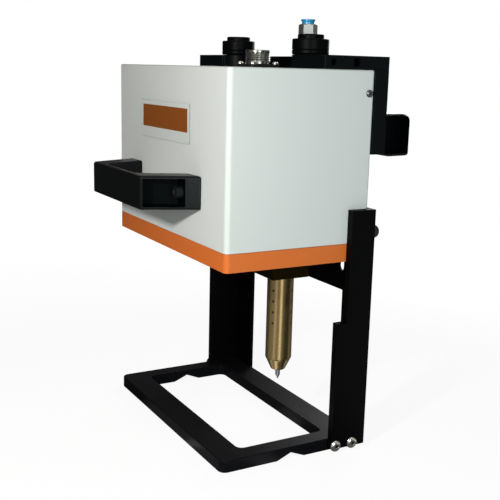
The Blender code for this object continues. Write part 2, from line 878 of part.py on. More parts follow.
# Plates outside the casing
def build_back_plate(material):
    """Thick plate behind the casing that carries the rear handle."""
    bm = bmesh.new()
    add_prism(bm, "Y", rectangle(-box_half, back_plate_bottom_z, box_half, cover_top_z),
              along(back_plate_front), along(back_plate_rear))
    piece = make_piece("back_plate", bm, material, smooth=False)
    round_edges(piece, plate_edge, 1)
    holes = bmesh.new()
    sizes = rear_handle_sizes()
    for side in (-1, 1):
        add_rod(holes, "Y", side * handle_screw_x(sizes), sizes["bottom_z"] + sizes["height"] / 2,
                handle_screw_radius + seat_gap,
                along(back_plate_rear - handle_screw_reach - seat_gap),
                along(back_plate_rear + cut_overrun), small_round_steps)
    return cut(piece, holes, "holes")


def boss_arc(side):
    """Round part of an ear's inner edge, from front to rear."""
    reach = math.acos((button_x - top_plate_ear_inner) / button_boss_radius)
    points = []
    for step in range(button_boss_steps + 1):
        angle = reach * (2 * step / button_boss_steps - 1)
        points.append((side * (button_x - button_boss_radius * math.cos(angle)),
                       along(button_y) + button_boss_radius * math.sin(angle)))
    return points


def build_top_plate(material):
    """Plate on top with two ears, each with a boss for its start button."""
    bm = bmesh.new()
    ear_front = along(top_plate_front)
    beam_front = along(back_plate_front)
    points = [(-box_half, ear_front), (-top_plate_ear_inner, ear_front)]
    points += boss_arc(-1)
    points += [(-top_plate_ear_inner, beam_front), (top_plate_ear_inner, beam_front)]
    points += boss_arc(1)[::-1]
    points += [(top_plate_ear_inner, ear_front), (box_half, ear_front),
               (box_half, along(back_plate_rear)), (-box_half, along(back_plate_rear))]
    add_prism(bm, "Z", points, top_plate_bottom_z, top_plate_top_z)
    piece = make_piece("top_plate", bm, material, smooth=False)
    round_edges(piece, plate_edge, 1)
    holes = bmesh.new()
    middle_z = (top_plate_bottom_z + top_plate_top_z) / 2
    for side in (-1, 1):
        add_rod(holes, "Z", side * button_x, along(button_y), button_barrel_radius + seat_gap,
                top_plate_bottom_z - cut_overrun, top_plate_top_z + cut_overrun)
        inner = side * (box_half - top_plate_hole_depth)
        outer = side * (box_half + cut_overrun)
        add_rod(holes, "X", along(top_plate_hole_front_y), middle_z, top_plate_hole_front_radius,
                inner, outer, small_round_steps)
        add_rod(holes, "X", along(top_plate_hole_rear_y), middle_z, top_plate_hole_rear_radius,
                inner, outer, small_round_steps)
    return cut(piece, holes, "holes")


def build_name_plate(material):
    """Bare plate on the front face."""
    bm = bmesh.new()
    outline = rounded_outline(rectangle(name_plate_left, name_plate_bottom_z, name_plate_right,
                                        name_plate_top_z), name_plate_corner)
    add_prism(bm, "Y", outline, along(-seat_gap - name_plate_thickness), along(-seat_gap))
    return make_piece("name_plate", bm, material)


# Start buttons
def build_button_housing(name, side, material):
    """Round bezel on an ear, with its threaded barrel."""
    bm = bmesh.new()
    base = top_plate_top_z + seat_gap
    top = base + button_bezel_height
    floor = top - button_bore_depth
    profile = [(button_stem_radius + slide_gap, button_barrel_bottom_z),
               (button_barrel_radius, button_barrel_bottom_z),
               (button_barrel_radius, base), (button_bezel_radius, base),
               (button_bezel_radius, top - button_bezel_chamfer),
               (button_bezel_radius - button_bezel_chamfer, top),
               (button_bore_radius + slide_gap, top), (button_bore_radius + slide_gap, floor),
               (button_stem_radius + slide_gap, floor)]
    add_turning(bm, "Z", side * button_x, along(button_y), profile, closed=True)
    return make_piece(name, bm, material)


def build_start_button(name, side, material):
    """Push button cap with its stem."""
    bm = bmesh.new()
    bezel_top = top_plate_top_z + seat_gap + button_bezel_height
    base = bezel_top - button_bore_depth + button_cap_base
    top = bezel_top + button_cap_rise
    profile = [(0, button_barrel_bottom_z + button_stem_tail),
               (button_stem_radius, button_barrel_bottom_z + button_stem_tail),
               (button_stem_radius, base), (button_bore_radius, base),
               (button_bore_radius, top - button_cap_round),
               (button_bore_radius - button_cap_round, top), (0, top)]
    add_turning(bm, "Z", side * button_x, along(button_y), profile)
    return make_piece(name, bm, material, (side * button_x, along(button_y), bezel_top))


# Connector
def build_connector_shell(material):
    """Flanged receptacle shell."""
    bm = bmesh.new()
    base = top_plate_bottom_z
    flange_top = base + connector_flange_thickness
    top = base + connector_height
    floor = base + connector_cavity_floor
    bottom = base - connector_tail_depth
    profile = [(connector_bore_radius, bottom), (connector_tail_radius, bottom),
               (connector_tail_radius, flange_top - join_depth),
               (connector_radius, flange_top - join_depth), (connector_radius, top - connector_lip),
               (connector_radius - connector_lip / 2, top), (connector_cavity_radius, top),
               (connector_cavity_radius, floor), (connector_bore_radius, floor)]
    add_turning(bm, "Z", connector_x, along(connector_y), profile, closed=True)
    piece = make_piece("connector_shell", bm, material)
    flange = bmesh.new()
    half = connector_flange / 2
    outline = rounded_outline(rectangle(connector_x - half, along(connector_y) - half,
                                        connector_x + half, along(connector_y) + half),
                              connector_flange_corner)
    add_prism(flange, "Z", outline, base, flange_top)
    middle = bmesh.new()
    add_rod(middle, "Z", connector_x, along(connector_y),
            (connector_bore_radius + connector_tail_radius) / 2, base - cut_overrun,
            flange_top + cut_overrun)
    plate = make_piece("connector_flange_tool", flange, material)
    plate.hide_render = True
    plate.display_type = "WIRE"
    cut(plate, middle, "middle")
    modifier = piece.modifiers.new("flange", "BOOLEAN")
    modifier.operation = "UNION"
    modifier.solver = "EXACT"
    modifier.object = plate
    return piece


def build_connector_insert(material):
    """Insulator that closes the shell's bore."""
    bm = bmesh.new()
    floor = top_plate_bottom_z + connector_cavity_floor + seat_gap
    top = floor + connector_insert_rise
    bottom = top_plate_bottom_z - connector_tail_depth - connector_insert_rise
    narrow = connector_bore_radius - seat_gap
    wide = connector_cavity_radius - seat_gap
    profile = [(0, bottom), (narrow, bottom), (narrow, floor), (wide, floor), (wide, top), (0, top)]
    add_turning(bm, "Z", connector_x, along(connector_y), profile)
    return make_piece("connector_insert", bm, material)


# Air fitting
def hexagon(centre_x, centre_y, flat):
    """Hexagon with the given width across its flats."""
    return circle(centre_x, centre_y, flat / math.sqrt(3), 6, hexagon_turn)


def build_fitting_body(material):
    """Push-in air fitting that stands on the cover."""
    bm = bmesh.new()
    base = top_plate_bottom_z
    base_top = base + fitting_base_height
    profile = [(fitting_bore_radius, base - fitting_stem_depth),
               (fitting_stem_radius, base - fitting_stem_depth),
               (fitting_stem_radius, base_top - join_depth),
               (fitting_neck_radius, base_top - join_depth),
               (fitting_neck_radius, fitting_top_z),
               (fitting_socket_radius, fitting_top_z),
               (fitting_socket_radius, fitting_top_z - fitting_socket_depth),
               (fitting_bore_radius, fitting_top_z - fitting_socket_depth)]
    add_turning(bm, "Z", fitting_x, along(fitting_y), profile, closed=True)
    piece = make_piece("air_fitting_body", bm, material)
    centre_y = along(fitting_y)
    for label, flat, bottom, top, bore in (
            ("base", fitting_base_flat, base, base_top, (fitting_bore_radius
                                                         + fitting_stem_radius) / 2),
            ("hex", fitting_hex_flat, fitting_hex_bottom_z, fitting_top_z - join_depth,
             (fitting_socket_radius + fitting_neck_radius) / 2)):
        ring = bmesh.new()
        add_prism(ring, "Z", hexagon(fitting_x, centre_y, flat), bottom, top)
        ring_piece = make_piece("fitting_" + label + "_tool", ring, material)
        ring_piece.hide_render = True
        ring_piece.display_type = "WIRE"
        hole = bmesh.new()
        add_rod(hole, "Z", fitting_x, centre_y, bore, bottom - cut_overrun, top + cut_overrun)
        cut(ring_piece, hole, "hole")
        modifier = piece.modifiers.new(label, "BOOLEAN")
        modifier.operation = "UNION"
        modifier.solver = "EXACT"
        modifier.object = ring_piece
    return piece


def build_fitting_nut(material):
    """Nut that clamps the fitting from inside the cover."""
    bm = bmesh.new()
    top = cover_inner_top_z - seat_gap
    add_prism(bm, "Z", hexagon(fitting_x, along(fitting_y), fitting_base_flat),
              top - fitting_nut_height, top)
    piece = make_piece("air_fitting_nut", bm, material, smooth=False)
    bore = bmesh.new()
    add_rod(bore, "Z", fitting_x, along(fitting_y), fitting_stem_radius + seat_gap,
            top - fitting_nut_height - cut_overrun, top + cut_overrun, small_round_steps)
    return cut(piece, bore, "bore")


def build_release_collet(material):
    """Ring that is pushed in to let the air tube go."""
    bm = bmesh.new()
    flange_bottom = fitting_top_z + collet_rise
    top = flange_bottom + collet_flange_thickness
    sleeve = fitting_socket_radius - slide_gap
    bottom = fitting_top_z - collet_depth
    profile = [(collet_bore_radius, bottom), (sleeve, bottom), (sleeve, flange_bottom),
               (collet_flange_radius, flange_bottom), (collet_flange_radius, top),
               (collet_bore_radius, top)]
    add_turning(bm, "Z", fitting_x, along(fitting_y), profile, closed=True)
    return make_piece("release_collet", bm, material, (fitting_x, along(fitting_y), flange_bottom))


# Rails and shafts
def build_front_rail(material):
    """Front bar that carries the fixed shafts and the front bearing of the Y screw."""
    bm = bmesh.new()
    outline = [(-rail_half, rail_bottom_z), (rail_half, rail_bottom_z), (rail_half, rail_top_z),
               (y_screw_x + y_bearing_half_width, rail_top_z),
               (y_screw_x + y_bearing_half_width, y_bearing_top_z),
               (y_screw_x - y_bearing_half_width, y_bearing_top_z),
               (y_screw_x - y_bearing_half_width, rail_top_z), (-rail_half, rail_top_z)]
    front = front_rail_front
    rear = front + rail_thickness
    add_prism(bm, "Y", outline, along(front), along(rear))
    piece = make_piece("front_shaft_rail", bm, material, smooth=False)
    holes = bmesh.new()
    for side in (-1, 1):
        add_rod(holes, "Y", side * y_shaft_x, y_shaft_z, shaft_radius + seat_gap,
                along(front - cut_overrun), along(rear + cut_overrun))
    add_rod(holes, "Y", y_screw_x, y_screw_z, journal_radius + slide_gap,
            along(front - cut_overrun), along(rear + cut_overrun))
    return cut(piece, holes, "holes")


def build_rear_rail(material):
    """Rear bar for the fixed shafts, tapped for the clamp knobs."""
    rear = rear_rail_rear
    front = rear - rail_thickness
    piece = box_prism("rear_shaft_rail", material, (-rail_half, along(front), rail_bottom_z),
                      (rail_half, along(rear), rail_top_z))
    holes = bmesh.new()
    for side in (-1, 1):
        add_rod(holes, "Y", side * y_shaft_x, y_shaft_z, shaft_radius + seat_gap,
                along(front - cut_overrun), along(rear + cut_overrun))
        add_rod(holes, "Y", side * knob_x, knob_z, knob_stud_radius + slide_gap,
                along(front - cut_overrun), along(rear + cut_overrun), small_round_steps)
    return cut(piece, holes, "holes")


def build_y_shaft(name, side, material):
    """Ground shaft along the depth of the casing."""
    bm = bmesh.new()
    add_rod(bm, "Y", side * y_shaft_x, y_shaft_z, shaft_radius,
            along(front_rail_front + shaft_end_inset), along(rear_rail_rear - shaft_end_inset))
    return make_piece(name, bm, material)


def build_end_block(name, side, material):
    """Block that runs on a fixed shaft and holds the ends of the cross shafts."""
    low = min(side * end_block_inner, side * end_block_outer)
    high = max(side * end_block_inner, side * end_block_outer)
    piece = box_prism(name, material, (low, along(carriage_y - end_block_half_depth),
                                       end_block_bottom_z),
                      (high, along(carriage_y + end_block_half_depth), end_block_top_z))
    bore = bmesh.new()
    add_rod(bore, "Y", side * y_shaft_x, y_shaft_z, shaft_radius + slide_gap,
            along(carriage_y - end_block_half_depth - cut_overrun),
            along(carriage_y + end_block_half_depth + cut_overrun))
    for row in (-1, 1):
        add_rod(bore, "X", along(carriage_y + row * x_shaft_spread), x_shaft_z,
                shaft_radius + seat_gap, side * (end_block_inner - cut_overrun),
                side * (end_block_inner + x_shaft_seat + seat_gap))
    return cut(piece, bore, "bores")


def build_bridge(material):
    """Bar that ties the two end blocks together."""
    front = carriage_y + end_block_half_depth + seat_gap
    return box_prism("carriage_bridge", material, (-end_block_outer, along(front), bridge_bottom_z),
                     (end_block_outer, along(front + bridge_thickness), end_block_top_z))


def build_x_shaft(name, row, material):
    """Ground shaft across the casing."""
    bm = bmesh.new()
    reach = end_block_inner + x_shaft_seat
    add_rod(bm, "X", along(carriage_y + row * x_shaft_spread), x_shaft_z, shaft_radius,
            -reach, reach)
    return make_piece(name, bm, material)


def build_x_carriage(material):
    """Block that runs on the cross shafts above the stylus."""
    low_x = x_carriage_x - x_carriage_half_width
    high_x = x_carriage_x + x_carriage_half_width
    piece = box_prism("x_carriage", material,
                      (low_x, along(carriage_y - x_carriage_half_depth), x_carriage_bottom_z),
                      (high_x, along(carriage_y + x_carriage_half_depth), x_carriage_top_z))
    bore = bmesh.new()
    for row in (-1, 1):
        add_rod(bore, "X", along(carriage_y + row * x_shaft_spread), x_shaft_z,
                shaft_radius + slide_gap, low_x - cut_overrun, high_x + cut_overrun)
    return cut(piece, bore, "bores")


# Drives
def build_motor(name, axis, centre_u, centre_v, face, back, material):
    """Square stepper motor with its output shaft."""
    bm = bmesh.new()
    half = motor_side / 2
    direction = 1 if face > back else -1
    outline = rounded_outline(rectangle(centre_u - half, centre_v - half, centre_u + half,
                                        centre_v + half), motor_corner)
    add_prism(bm, axis, outline, back, face)
    piece = make_piece(name, bm, material)
    shaft = bmesh.new()
    add_rod(shaft, axis, centre_u, centre_v, motor_shaft_radius,
            face - direction * join_depth, face + direction * motor_shaft_reach, small_round_steps)
    return join(piece, shaft, "shaft")


def build_x_motor(material):
    """Motor that turns the cross screw."""
    return build_motor("x_motor", "X", along(carriage_y), x_screw_z, -x_motor_inner,
                       -x_motor_outer, material)


def build_y_motor(material):
    """Motor that turns the depth screw."""
    return build_motor("y_motor", "Y", y_screw_x, y_screw_z, along(y_motor_front),
                       along(y_motor_rear), material)


def build_x_motor_bracket(material):
    """Angle that stands on the left end block and holds the cross motor."""
    bm = bmesh.new()
    base = end_block_top_z + seat_gap
    shelf_top = base + bracket_shelf
    plate_near = -x_motor_inner + seat_gap
    plate_far = plate_near + motor_plate
    top = x_screw_z + motor_side / 2
    half = motor_side / 2
    outline = [(-end_block_outer, base), (plate_far, base), (plate_far, top), (plate_near, top),
               (plate_near, shelf_top), (-end_block_outer, shelf_top)]
    add_prism(bm, "Y", outline, along(carriage_y - half), along(carriage_y + half))
    piece = make_piece("x_motor_bracket", bm, material, smooth=False)
    hole = bmesh.new()
    add_rod(hole, "X", along(carriage_y), x_screw_z, motor_plate_hole, plate_near - cut_overrun,
            plate_far + cut_overrun, small_round_steps)
    return cut(piece, hole, "hole")


def build_y_motor_bracket(material):
    """Angle that hangs the depth motor in front of the inner rear plate."""
    bm = bmesh.new()
    plate_rear = y_motor_front - seat_gap
    plate_front = plate_rear - motor_plate
    half = motor_side / 2
    shelf_bottom = y_screw_z + half + seat_gap
    shelf_top = shelf_bottom + bracket_shelf
    rear = inner_back_front - seat_gap
    outline = [(along(plate_front), y_screw_z - half), (along(plate_rear), y_screw_z - half),
               (along(plate_rear), shelf_bottom), (along(rear), shelf_bottom),
               (along(rear), shelf_top), (along(plate_front), shelf_top)]
    add_prism(bm, "X", outline, y_screw_x - half, y_screw_x + half)
    piece = make_piece("y_motor_bracket", bm, material, smooth=False)
    hole = bmesh.new()
    add_rod(hole, "Y", y_screw_x, y_screw_z, motor_plate_hole, along(plate_front - cut_overrun),
            along(plate_rear + cut_overrun), small_round_steps)
    return cut(piece, hole, "hole")


def build_x_screw(material):
    """Drive screw across the casing, with the collar on the motor shaft."""
    bm = bmesh.new()
    start = -x_motor_inner + seat_gap + motor_plate + seat_gap
    collar_end = start + x_collar_length
    shaft_end = -x_motor_inner + motor_shaft_reach + seat_gap
    shoulder = x_bearing_inner - seat_gap
    profile = [(motor_shaft_radius + slide_gap, start), (collar_radius, start),
               (collar_radius, collar_end), (screw_radius, collar_end), (screw_radius, shoulder),
               (journal_radius, shoulder), (journal_radius, x_bearing_outer),
               (0, x_bearing_outer), (0, shaft_end), (motor_shaft_radius + slide_gap, shaft_end)]
    add_turning(bm, "X", along(carriage_y), x_screw_z, profile, closed=True)
    return make_piece("x_lead_screw", bm, material, (0, along(carriage_y), x_screw_z))


def build_y_screw(material):
    """Drive screw along the depth of the casing, with the collar on the motor shaft."""
    bm = bmesh.new()
    start = y_motor_front - seat_gap - motor_plate - seat_gap
    collar_end = start - y_collar_length
    shaft_end = y_motor_front - motor_shaft_reach - seat_gap
    shoulder = front_rail_front + rail_thickness + seat_gap
    tail = front_rail_front + shaft_end_inset
    profile = [(motor_shaft_radius + slide_gap, start), (collar_radius, start),
               (collar_radius, collar_end), (screw_radius, collar_end), (screw_radius, shoulder),
               (journal_radius, shoulder), (journal_radius, tail), (0, tail), (0, shaft_end),
               (motor_shaft_radius + slide_gap, shaft_end)]
    profile = [(radius, along(height)) for radius, height in profile]
    add_turning(bm, "Y", y_screw_x, y_screw_z, profile, closed=True)
    return make_piece("y_lead_screw", bm, material, (y_screw_x, along(carriage_y), y_screw_z))


def build_x_nut_block(material):
    """Nut block on the cross carriage."""
    base = x_carriage_top_z + seat_gap
    low_x = x_carriage_x - x_nut_half_width
    high_x = x_carriage_x + x_nut_half_width
    piece = box_prism("x_nut_block", material, (low_x, along(carriage_y - x_nut_half_depth), base),
                      (high_x, along(carriage_y + x_nut_half_depth), x_nut_top_z))
    bore = bmesh.new()
    add_rod(bore, "X", along(carriage_y), x_screw_z, screw_radius + slide_gap,
            low_x - cut_overrun, high_x + cut_overrun)
    return cut(piece, bore, "bore")


def build_y_nut_block(material):
    """Nut block on the right end block."""
    front = carriage_y - y_nut_front
    rear = carriage_y - y_nut_rear
    piece = box_prism("y_nut_block", material,
                      (y_screw_x - y_nut_half_width, along(front), end_block_top_z + seat_gap),
                      (y_screw_x + y_nut_half_width, along(rear), y_nut_top_z))
    bore = bmesh.new()
    add_rod(bore, "Y", y_screw_x, y_screw_z, screw_radius + slide_gap,
            along(front - cut_overrun), along(rear + cut_overrun))
    return cut(piece, bore, "bore")


def build_x_bearing(material):
    """Bearing block for the far end of the cross screw."""
    piece = box_prism("x_screw_bearing", material,
                      (x_bearing_inner, along(carriage_y - x_bearing_half_depth),
                       end_block_top_z + seat_gap),
                      (x_bearing_outer, along(carriage_y + x_bearing_half_depth), x_bearing_top_z))
    bore = bmesh.new()
    add_rod(bore, "X", along(carriage_y), x_screw_z, journal_radius + slide_gap,
            x_bearing_inner - cut_overrun, x_bearing_outer + cut_overrun)
    return cut(piece, bore, "bore")


def build_valve(material):
    """Air valve with its coil, on the inner rear plate."""
    bm = bmesh.new()
    outline = [(valve_left, valve_bottom_z), (valve_right, valve_bottom_z),
               (valve_right, valve_base_top_z), (valve_coil_right, valve_base_top_z),
               (valve_coil_right, valve_coil_top_z), (valve_left, valve_coil_top_z)]
    add_prism(bm, "Y", outline, along(valve_front), along(inner_back_front - seat_gap))
    piece = make_piece("air_valve", bm, material, smooth=False)
    return round_edges(piece, valve_edge, 1)


# Stylus
def build_stylus_holder(material):
    """Square block under the cross carriage that clamps the stylus."""
    centre_y = along(carriage_y)
    piece = box_prism("stylus_holder", material,
                      (x_carriage_x - holder_width / 2, centre_y - holder_depth / 2,
                       holder_bottom_z),
                      (x_carriage_x + holder_width / 2, centre_y + holder_depth / 2,
                       x_carriage_bottom_z - seat_gap), holder_edge)
    bore = bmesh.new()
    add_rod(bore, "Z", x_carriage_x, centre_y, stylus_radius + seat_gap,
            holder_bottom_z - cut_overrun, holder_bore_top_z)
    return cut(piece, bore, "bore")


def build_stylus_body(material):
    """Brass barrel with vents in its side."""
    bm = bmesh.new()
    centre_y = along(carriage_y)
    profile = [(stylus_air_radius, stylus_top_z), (stylus_radius - holder_edge, stylus_top_z),
               (stylus_radius, stylus_top_z - holder_edge), (stylus_radius, stylus_shoulder_z),
               (stylus_joint_radius, stylus_joint_z), (stylus_bore_radius, stylus_joint_z),
               (stylus_bore_radius, stylus_bore_top_z), (stylus_air_radius, stylus_bore_top_z)]
    add_turning(bm, "Z", x_carriage_x, centre_y, profile, closed=True)
    piece = make_piece("stylus_body", bm, material)
    for label, turn in (("vents", vent_angle), ("cross_vents", vent_angle + 90.0)):
        vents = bmesh.new()
        for row in range(vent_rows):
            add_rod(vents, "X", 0, vent_top_z - row * vent_pitch, vent_radius,
                    -stylus_radius - cut_overrun, stylus_radius + cut_overrun,
                    small_round_steps // 2)
        angle = math.radians(turn)
        for vert in vents.verts:
            x, y = vert.co.x, vert.co.y
            vert.co.x = x_carriage_x + x * math.cos(angle) - y * math.sin(angle)
            vert.co.y = centre_y + x * math.sin(angle) + y * math.cos(angle)
        cut(piece, vents, label)
    return piece


def build_stylus_nose(material):
    """Tapered nose that guides the pin."""
    bm = bmesh.new()
    top = stylus_joint_z - seat_gap
    profile = [(pin_radius + slide_gap, nose_tip_z), (nose_tip_radius, nose_tip_z),
               (nose_knee_radius, nose_knee_z), (stylus_joint_radius, top),
               (stylus_bore_radius - seat_gap, top),
               (stylus_bore_radius - seat_gap, nose_spigot_top_z),
               (pin_radius + slide_gap, nose_spigot_top_z)]
    add_turning(bm, "Z", x_carriage_x, along(carriage_y), profile, closed=True)
    return make_piece("stylus_nose", bm, material)


def build_stylus_pin(material):
    """Hardened pin with the piston that drives it."""
    bm = bmesh.new()
    piston_radius = stylus_bore_radius - slide_gap
    profile = [(0, pin_tip_z), (pin_point_radius, pin_tip_z),
               (pin_radius, pin_tip_z + pin_tip_length), (pin_radius, piston_bottom_z),
               (piston_radius, piston_bottom_z), (piston_radius, piston_top_z), (0, piston_top_z)]
    add_turning(bm, "Z", x_carriage_x, along(carriage_y), profile)
    return make_piece("stylus_pin", bm, material, (x_carriage_x, along(carriage_y), pin_tip_z))


def build_pin_spring(material):
    """Coil spring between the nose and the piston."""
    bottom = nose_spigot_top_z + seat_gap + spring_wire_radius
    top = piston_bottom_z - seat_gap - spring_wire_radius
    steps = spring_turns * spring_turn_steps
    centre_y = along(carriage_y)
    verts = []
    for step in range(steps + 1):
        turn = 2 * math.pi * step / spring_turn_steps
        height = bottom + (top - bottom) * step / steps
        for side in range(spring_wire_steps):
            angle = 2 * math.pi * side / spring_wire_steps
            radius = spring_radius + spring_wire_radius * math.cos(angle)
            verts.append((x_carriage_x + radius * math.cos(turn),
                          centre_y + radius * math.sin(turn),
                          height + spring_wire_radius * math.sin(angle)))
    faces = [tuple(reversed(range(spring_wire_steps)))]
    for step in range(steps):
        for side in range(spring_wire_steps):
            following = (side + 1) % spring_wire_steps
            base = step * spring_wire_steps
            ahead = base + spring_wire_steps
            faces.append((base + side, base + following, ahead + following, ahead + side))
    last = steps * spring_wire_steps
    faces.append(tuple(range(last, last + spring_wire_steps)))
    mesh = bpy.data.meshes.new("pin_spring")
    mesh.from_pydata(verts, [], faces)
    bm = bmesh.new()
    bm.from_mesh(mesh)
    bpy.data.meshes.remove(mesh)
    return make_piece("pin_spring", bm, material)


# Stand
def build_base_frame(material):
    """Rectangular foot with a window and notches for round work."""
    bm = bmesh.new()
    outer = rectangle(-box_half, along(0), box_half, along(box_depth))
    add_prism(bm, "Z", rounded_outline(outer, stand_corner), 0, stand_thickness)
    piece = make_piece("base_frame", bm, material)
    window = bmesh.new()
    opening = rectangle(-stand_window_half, along(stand_window_front), stand_window_half,
                        along(stand_window_rear))
    add_prism(window, "Z", rounded_outline(opening, stand_window_corner), -cut_overrun,
              stand_thickness + cut_overrun)
    cut(piece, window, "window")
    notch = bmesh.new()
    spread = notch_half_width * (notch_depth + cut_overrun) / notch_depth
    outline = [(along(notch_y) - spread, -cut_overrun), (along(notch_y) + spread, -cut_overrun),
               (along(notch_y), notch_depth)]
    add_prism(notch, "X", outline, -box_half - cut_overrun, box_half + cut_overrun)
    cut(piece, notch, "notches")
    holes = bmesh.new()
    for side in (-1, 1):
        for distance in (foot_screw_front_y, foot_screw_rear_y):
            add_rod(holes, "X", along(distance), foot_screw_z, foot_screw_radius + seat_gap,
                    side * (box_half + seat_gap + post_thickness - foot_screw_length
                            - seat_gap),
                    side * (box_half + cut_overrun), small_round_steps)
    return cut(piece, holes, "holes")


def build_post(name, side, material):
    """Side upright of the stand."""
    bm = bmesh.new()
    outline = [(along(post_front_low), post_bottom_z), (along(post_rear), post_bottom_z),
               (along(post_rear), post_top_z), (along(post_front_high), post_top_z),
               (along(post_front_high), post_step_z), (along(post_front_low), post_step_z)]
    near = side * (box_half + seat_gap)
    far = side * (box_half + seat_gap + post_thickness)
    add_prism(bm, "X", outline, near, far)
    piece = make_piece(name, bm, material, smooth=False)
    round_edges(piece, plate_edge, 1)
    holes = bmesh.new()
    for distance in (foot_screw_front_y, foot_screw_rear_y):
        add_rod(holes, "X", along(distance), foot_screw_z, foot_screw_radius + seat_gap,
                near - side * cut_overrun, far + side * cut_overrun, small_round_steps)
    return cut(piece, holes, "holes")


def build_foot_screw(name, side, distance, material):
    """Stainless button head screw at the foot of a post."""
    bm = bmesh.new()
    seat = box_half + seat_gap + post_thickness + seat_gap
    head = seat + foot_screw_head_height
    tail = seat - foot_screw_length
    low_rise, high_rise = foot_screw_rise_shares
    outer_crown, inner_crown = foot_screw_crown_shares
    profile = [(0, tail), (foot_screw_radius, tail), (foot_screw_radius, seat),
               (foot_screw_head_radius, seat),
               (foot_screw_head_radius, seat + foot_screw_head_height * low_rise),
               (foot_screw_head_radius * outer_crown, seat + foot_screw_head_height * high_rise),
               (foot_screw_head_radius * inner_crown, head), (foot_screw_socket_radius, head),
               (foot_screw_socket_radius, head - foot_screw_socket_depth),
               (0, head - foot_screw_socket_depth)]
    profile = [(radius, side * height) for radius, height in profile]
    add_turning(bm, "X", along(distance), foot_screw_z, profile, small_round_steps)
    return make_piece(name, bm, material)


def build_rear_frame(material):
    """Plate that ties the posts together behind the stand and the casing."""
    bm = bmesh.new()
    inner = rear_frame_leg_inner
    outline = [(inner, post_bottom_z), (box_half, post_bottom_z), (box_half, post_top_z),
               (-box_half, post_top_z), (-box_half, post_bottom_z), (-inner, post_bottom_z),
               (-inner, rear_frame_beam_bottom_z), (inner, rear_frame_beam_bottom_z)]
    front = box_depth + seat_gap
    rear = front + rear_frame_thickness
    add_prism(bm, "Y", outline, along(front), along(rear))
    piece = make_piece("stand_rear_frame", bm, material)
    holes = bmesh.new()
    for side in (-1, 1):
        add_rod(holes, "Y", side * knob_x, knob_z, knob_stud_radius + slide_gap,
                along(front - cut_overrun), along(rear + cut_overrun), small_round_steps)
        low_x = min(side * rear_frame_slot_inner, side * rear_frame_slot_outer)
        high_x = max(side * rear_frame_slot_inner, side * rear_frame_slot_outer)
        slot = rectangle(low_x, rear_frame_slot_bottom_z, high_x, rear_frame_slot_top_z)
        add_prism(holes, "Y", rounded_outline(slot, rear_frame_slot_corner),
                  along(front - cut_overrun), along(rear + cut_overrun))
    return cut(piece, holes, "holes")


def build_clamp_knob(name, side, material):
    """Knob whose stud clamps the casing to the stand."""
    bm = bmesh.new()
    seat = box_depth + seat_gap + rear_frame_thickness + seat_gap
    head = seat + knob_length
    profile = [(0, seat - knob_stud_length), (knob_stud_radius, seat - knob_stud_length),
               (knob_stud_radius, seat), (knob_radius, seat), (knob_radius, head - knob_edge),
               (knob_radius - knob_edge, head), (0, head)]
    profile = [(radius, along(height)) for radius, height in profile]
    add_turning(bm, "Y", side * knob_x, knob_z, profile, small_round_steps)
    return make_piece(name, bm, material, (side * knob_x, along(seat), knob_z))


def remove_everything():
    """Empties the scene."""
    for item in list(bpy.data.objects):
        bpy.data.objects.remove(item, do_unlink=True)


def build_all():
    """Builds every piece of the machine."""
    white = white_paint()
    black = black_anodised()
    plastic = black_plastic()
    light_metal = aluminium()
    steel = bright_steel()
    dark = dark_steel()
    yellow_metal = brass()
    plated = nickel()
    motor_finish = motor_black()
    build_chassis(orange_paint())
    build_cover(white)
    build_inner_back_plate(light_metal)
    build_back_plate(black)
    build_top_plate(black)
    build_name_plate(white)
    build_handle("front_handle", front_handle_sizes(), plastic)
    build_rear_handle(plastic)
    build_backing_strip(steel)
    build_connector_shell(plated)
    build_connector_insert(plastic)
    build_fitting_body(plated)
    build_fitting_nut(plated)
    build_release_collet(blue_plastic())
    build_front_rail(light_metal)
    build_rear_rail(light_metal)
    build_bridge(light_metal)
    build_x_shaft("x_shaft_front", -1, steel)
    build_x_shaft("x_shaft_rear", 1, steel)
    build_x_carriage(light_metal)
    build_x_motor(motor_finish)
    build_y_motor(motor_finish)
    build_x_motor_bracket(light_metal)
    build_y_motor_bracket(light_metal)
    build_x_screw(steel)
    build_y_screw(steel)
    build_x_nut_block(yellow_metal)
    build_y_nut_block(yellow_metal)
    build_x_bearing(light_metal)
    build_valve(motor_finish)
    build_stylus_holder(bronze())
    build_stylus_body(yellow_metal)
    build_stylus_nose(yellow_metal)
    build_stylus_pin(steel)
    build_pin_spring(steel)
    build_base_frame(black)
    build_rear_frame(black)
    for word, side in (("left", -1), ("right", 1)):
        build_cover_screw("cover_screw_" + word, side, dark)
        build_handle_screw("front_handle_screw_" + word, front_handle_sizes(), side, dark)
        build_handle_screw("rear_handle_screw_" + word, rear_handle_sizes(), side, dark)
        build_button_housing("button_housing_" + word, side, plastic)
        build_start_button("start_button_" + word, side, plastic)
        build_y_shaft("y_shaft_" + word, side, steel)
        build_end_block("end_block_" + word, side, light_metal)
        build_post(word + "_post", side, black)
        build_foot_screw("foot_screw_" + word + "_front", side, foot_screw_front_y, steel)
        build_foot_screw("foot_screw_" + word + "_rear", side, foot_screw_rear_y, steel)
        build_clamp_knob("clamp_knob_" + word, side, dark)


remove_everything()
build_all()
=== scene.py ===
# Portable marking head on its stand: fine surfaces, finishes, lights and camera.
# Lengths are in metres in the part's own frame, front along -Y and up along +Z.
import json
import math

import bmesh
import bpy
import numpy as np
from mathutils import Matrix, Vector


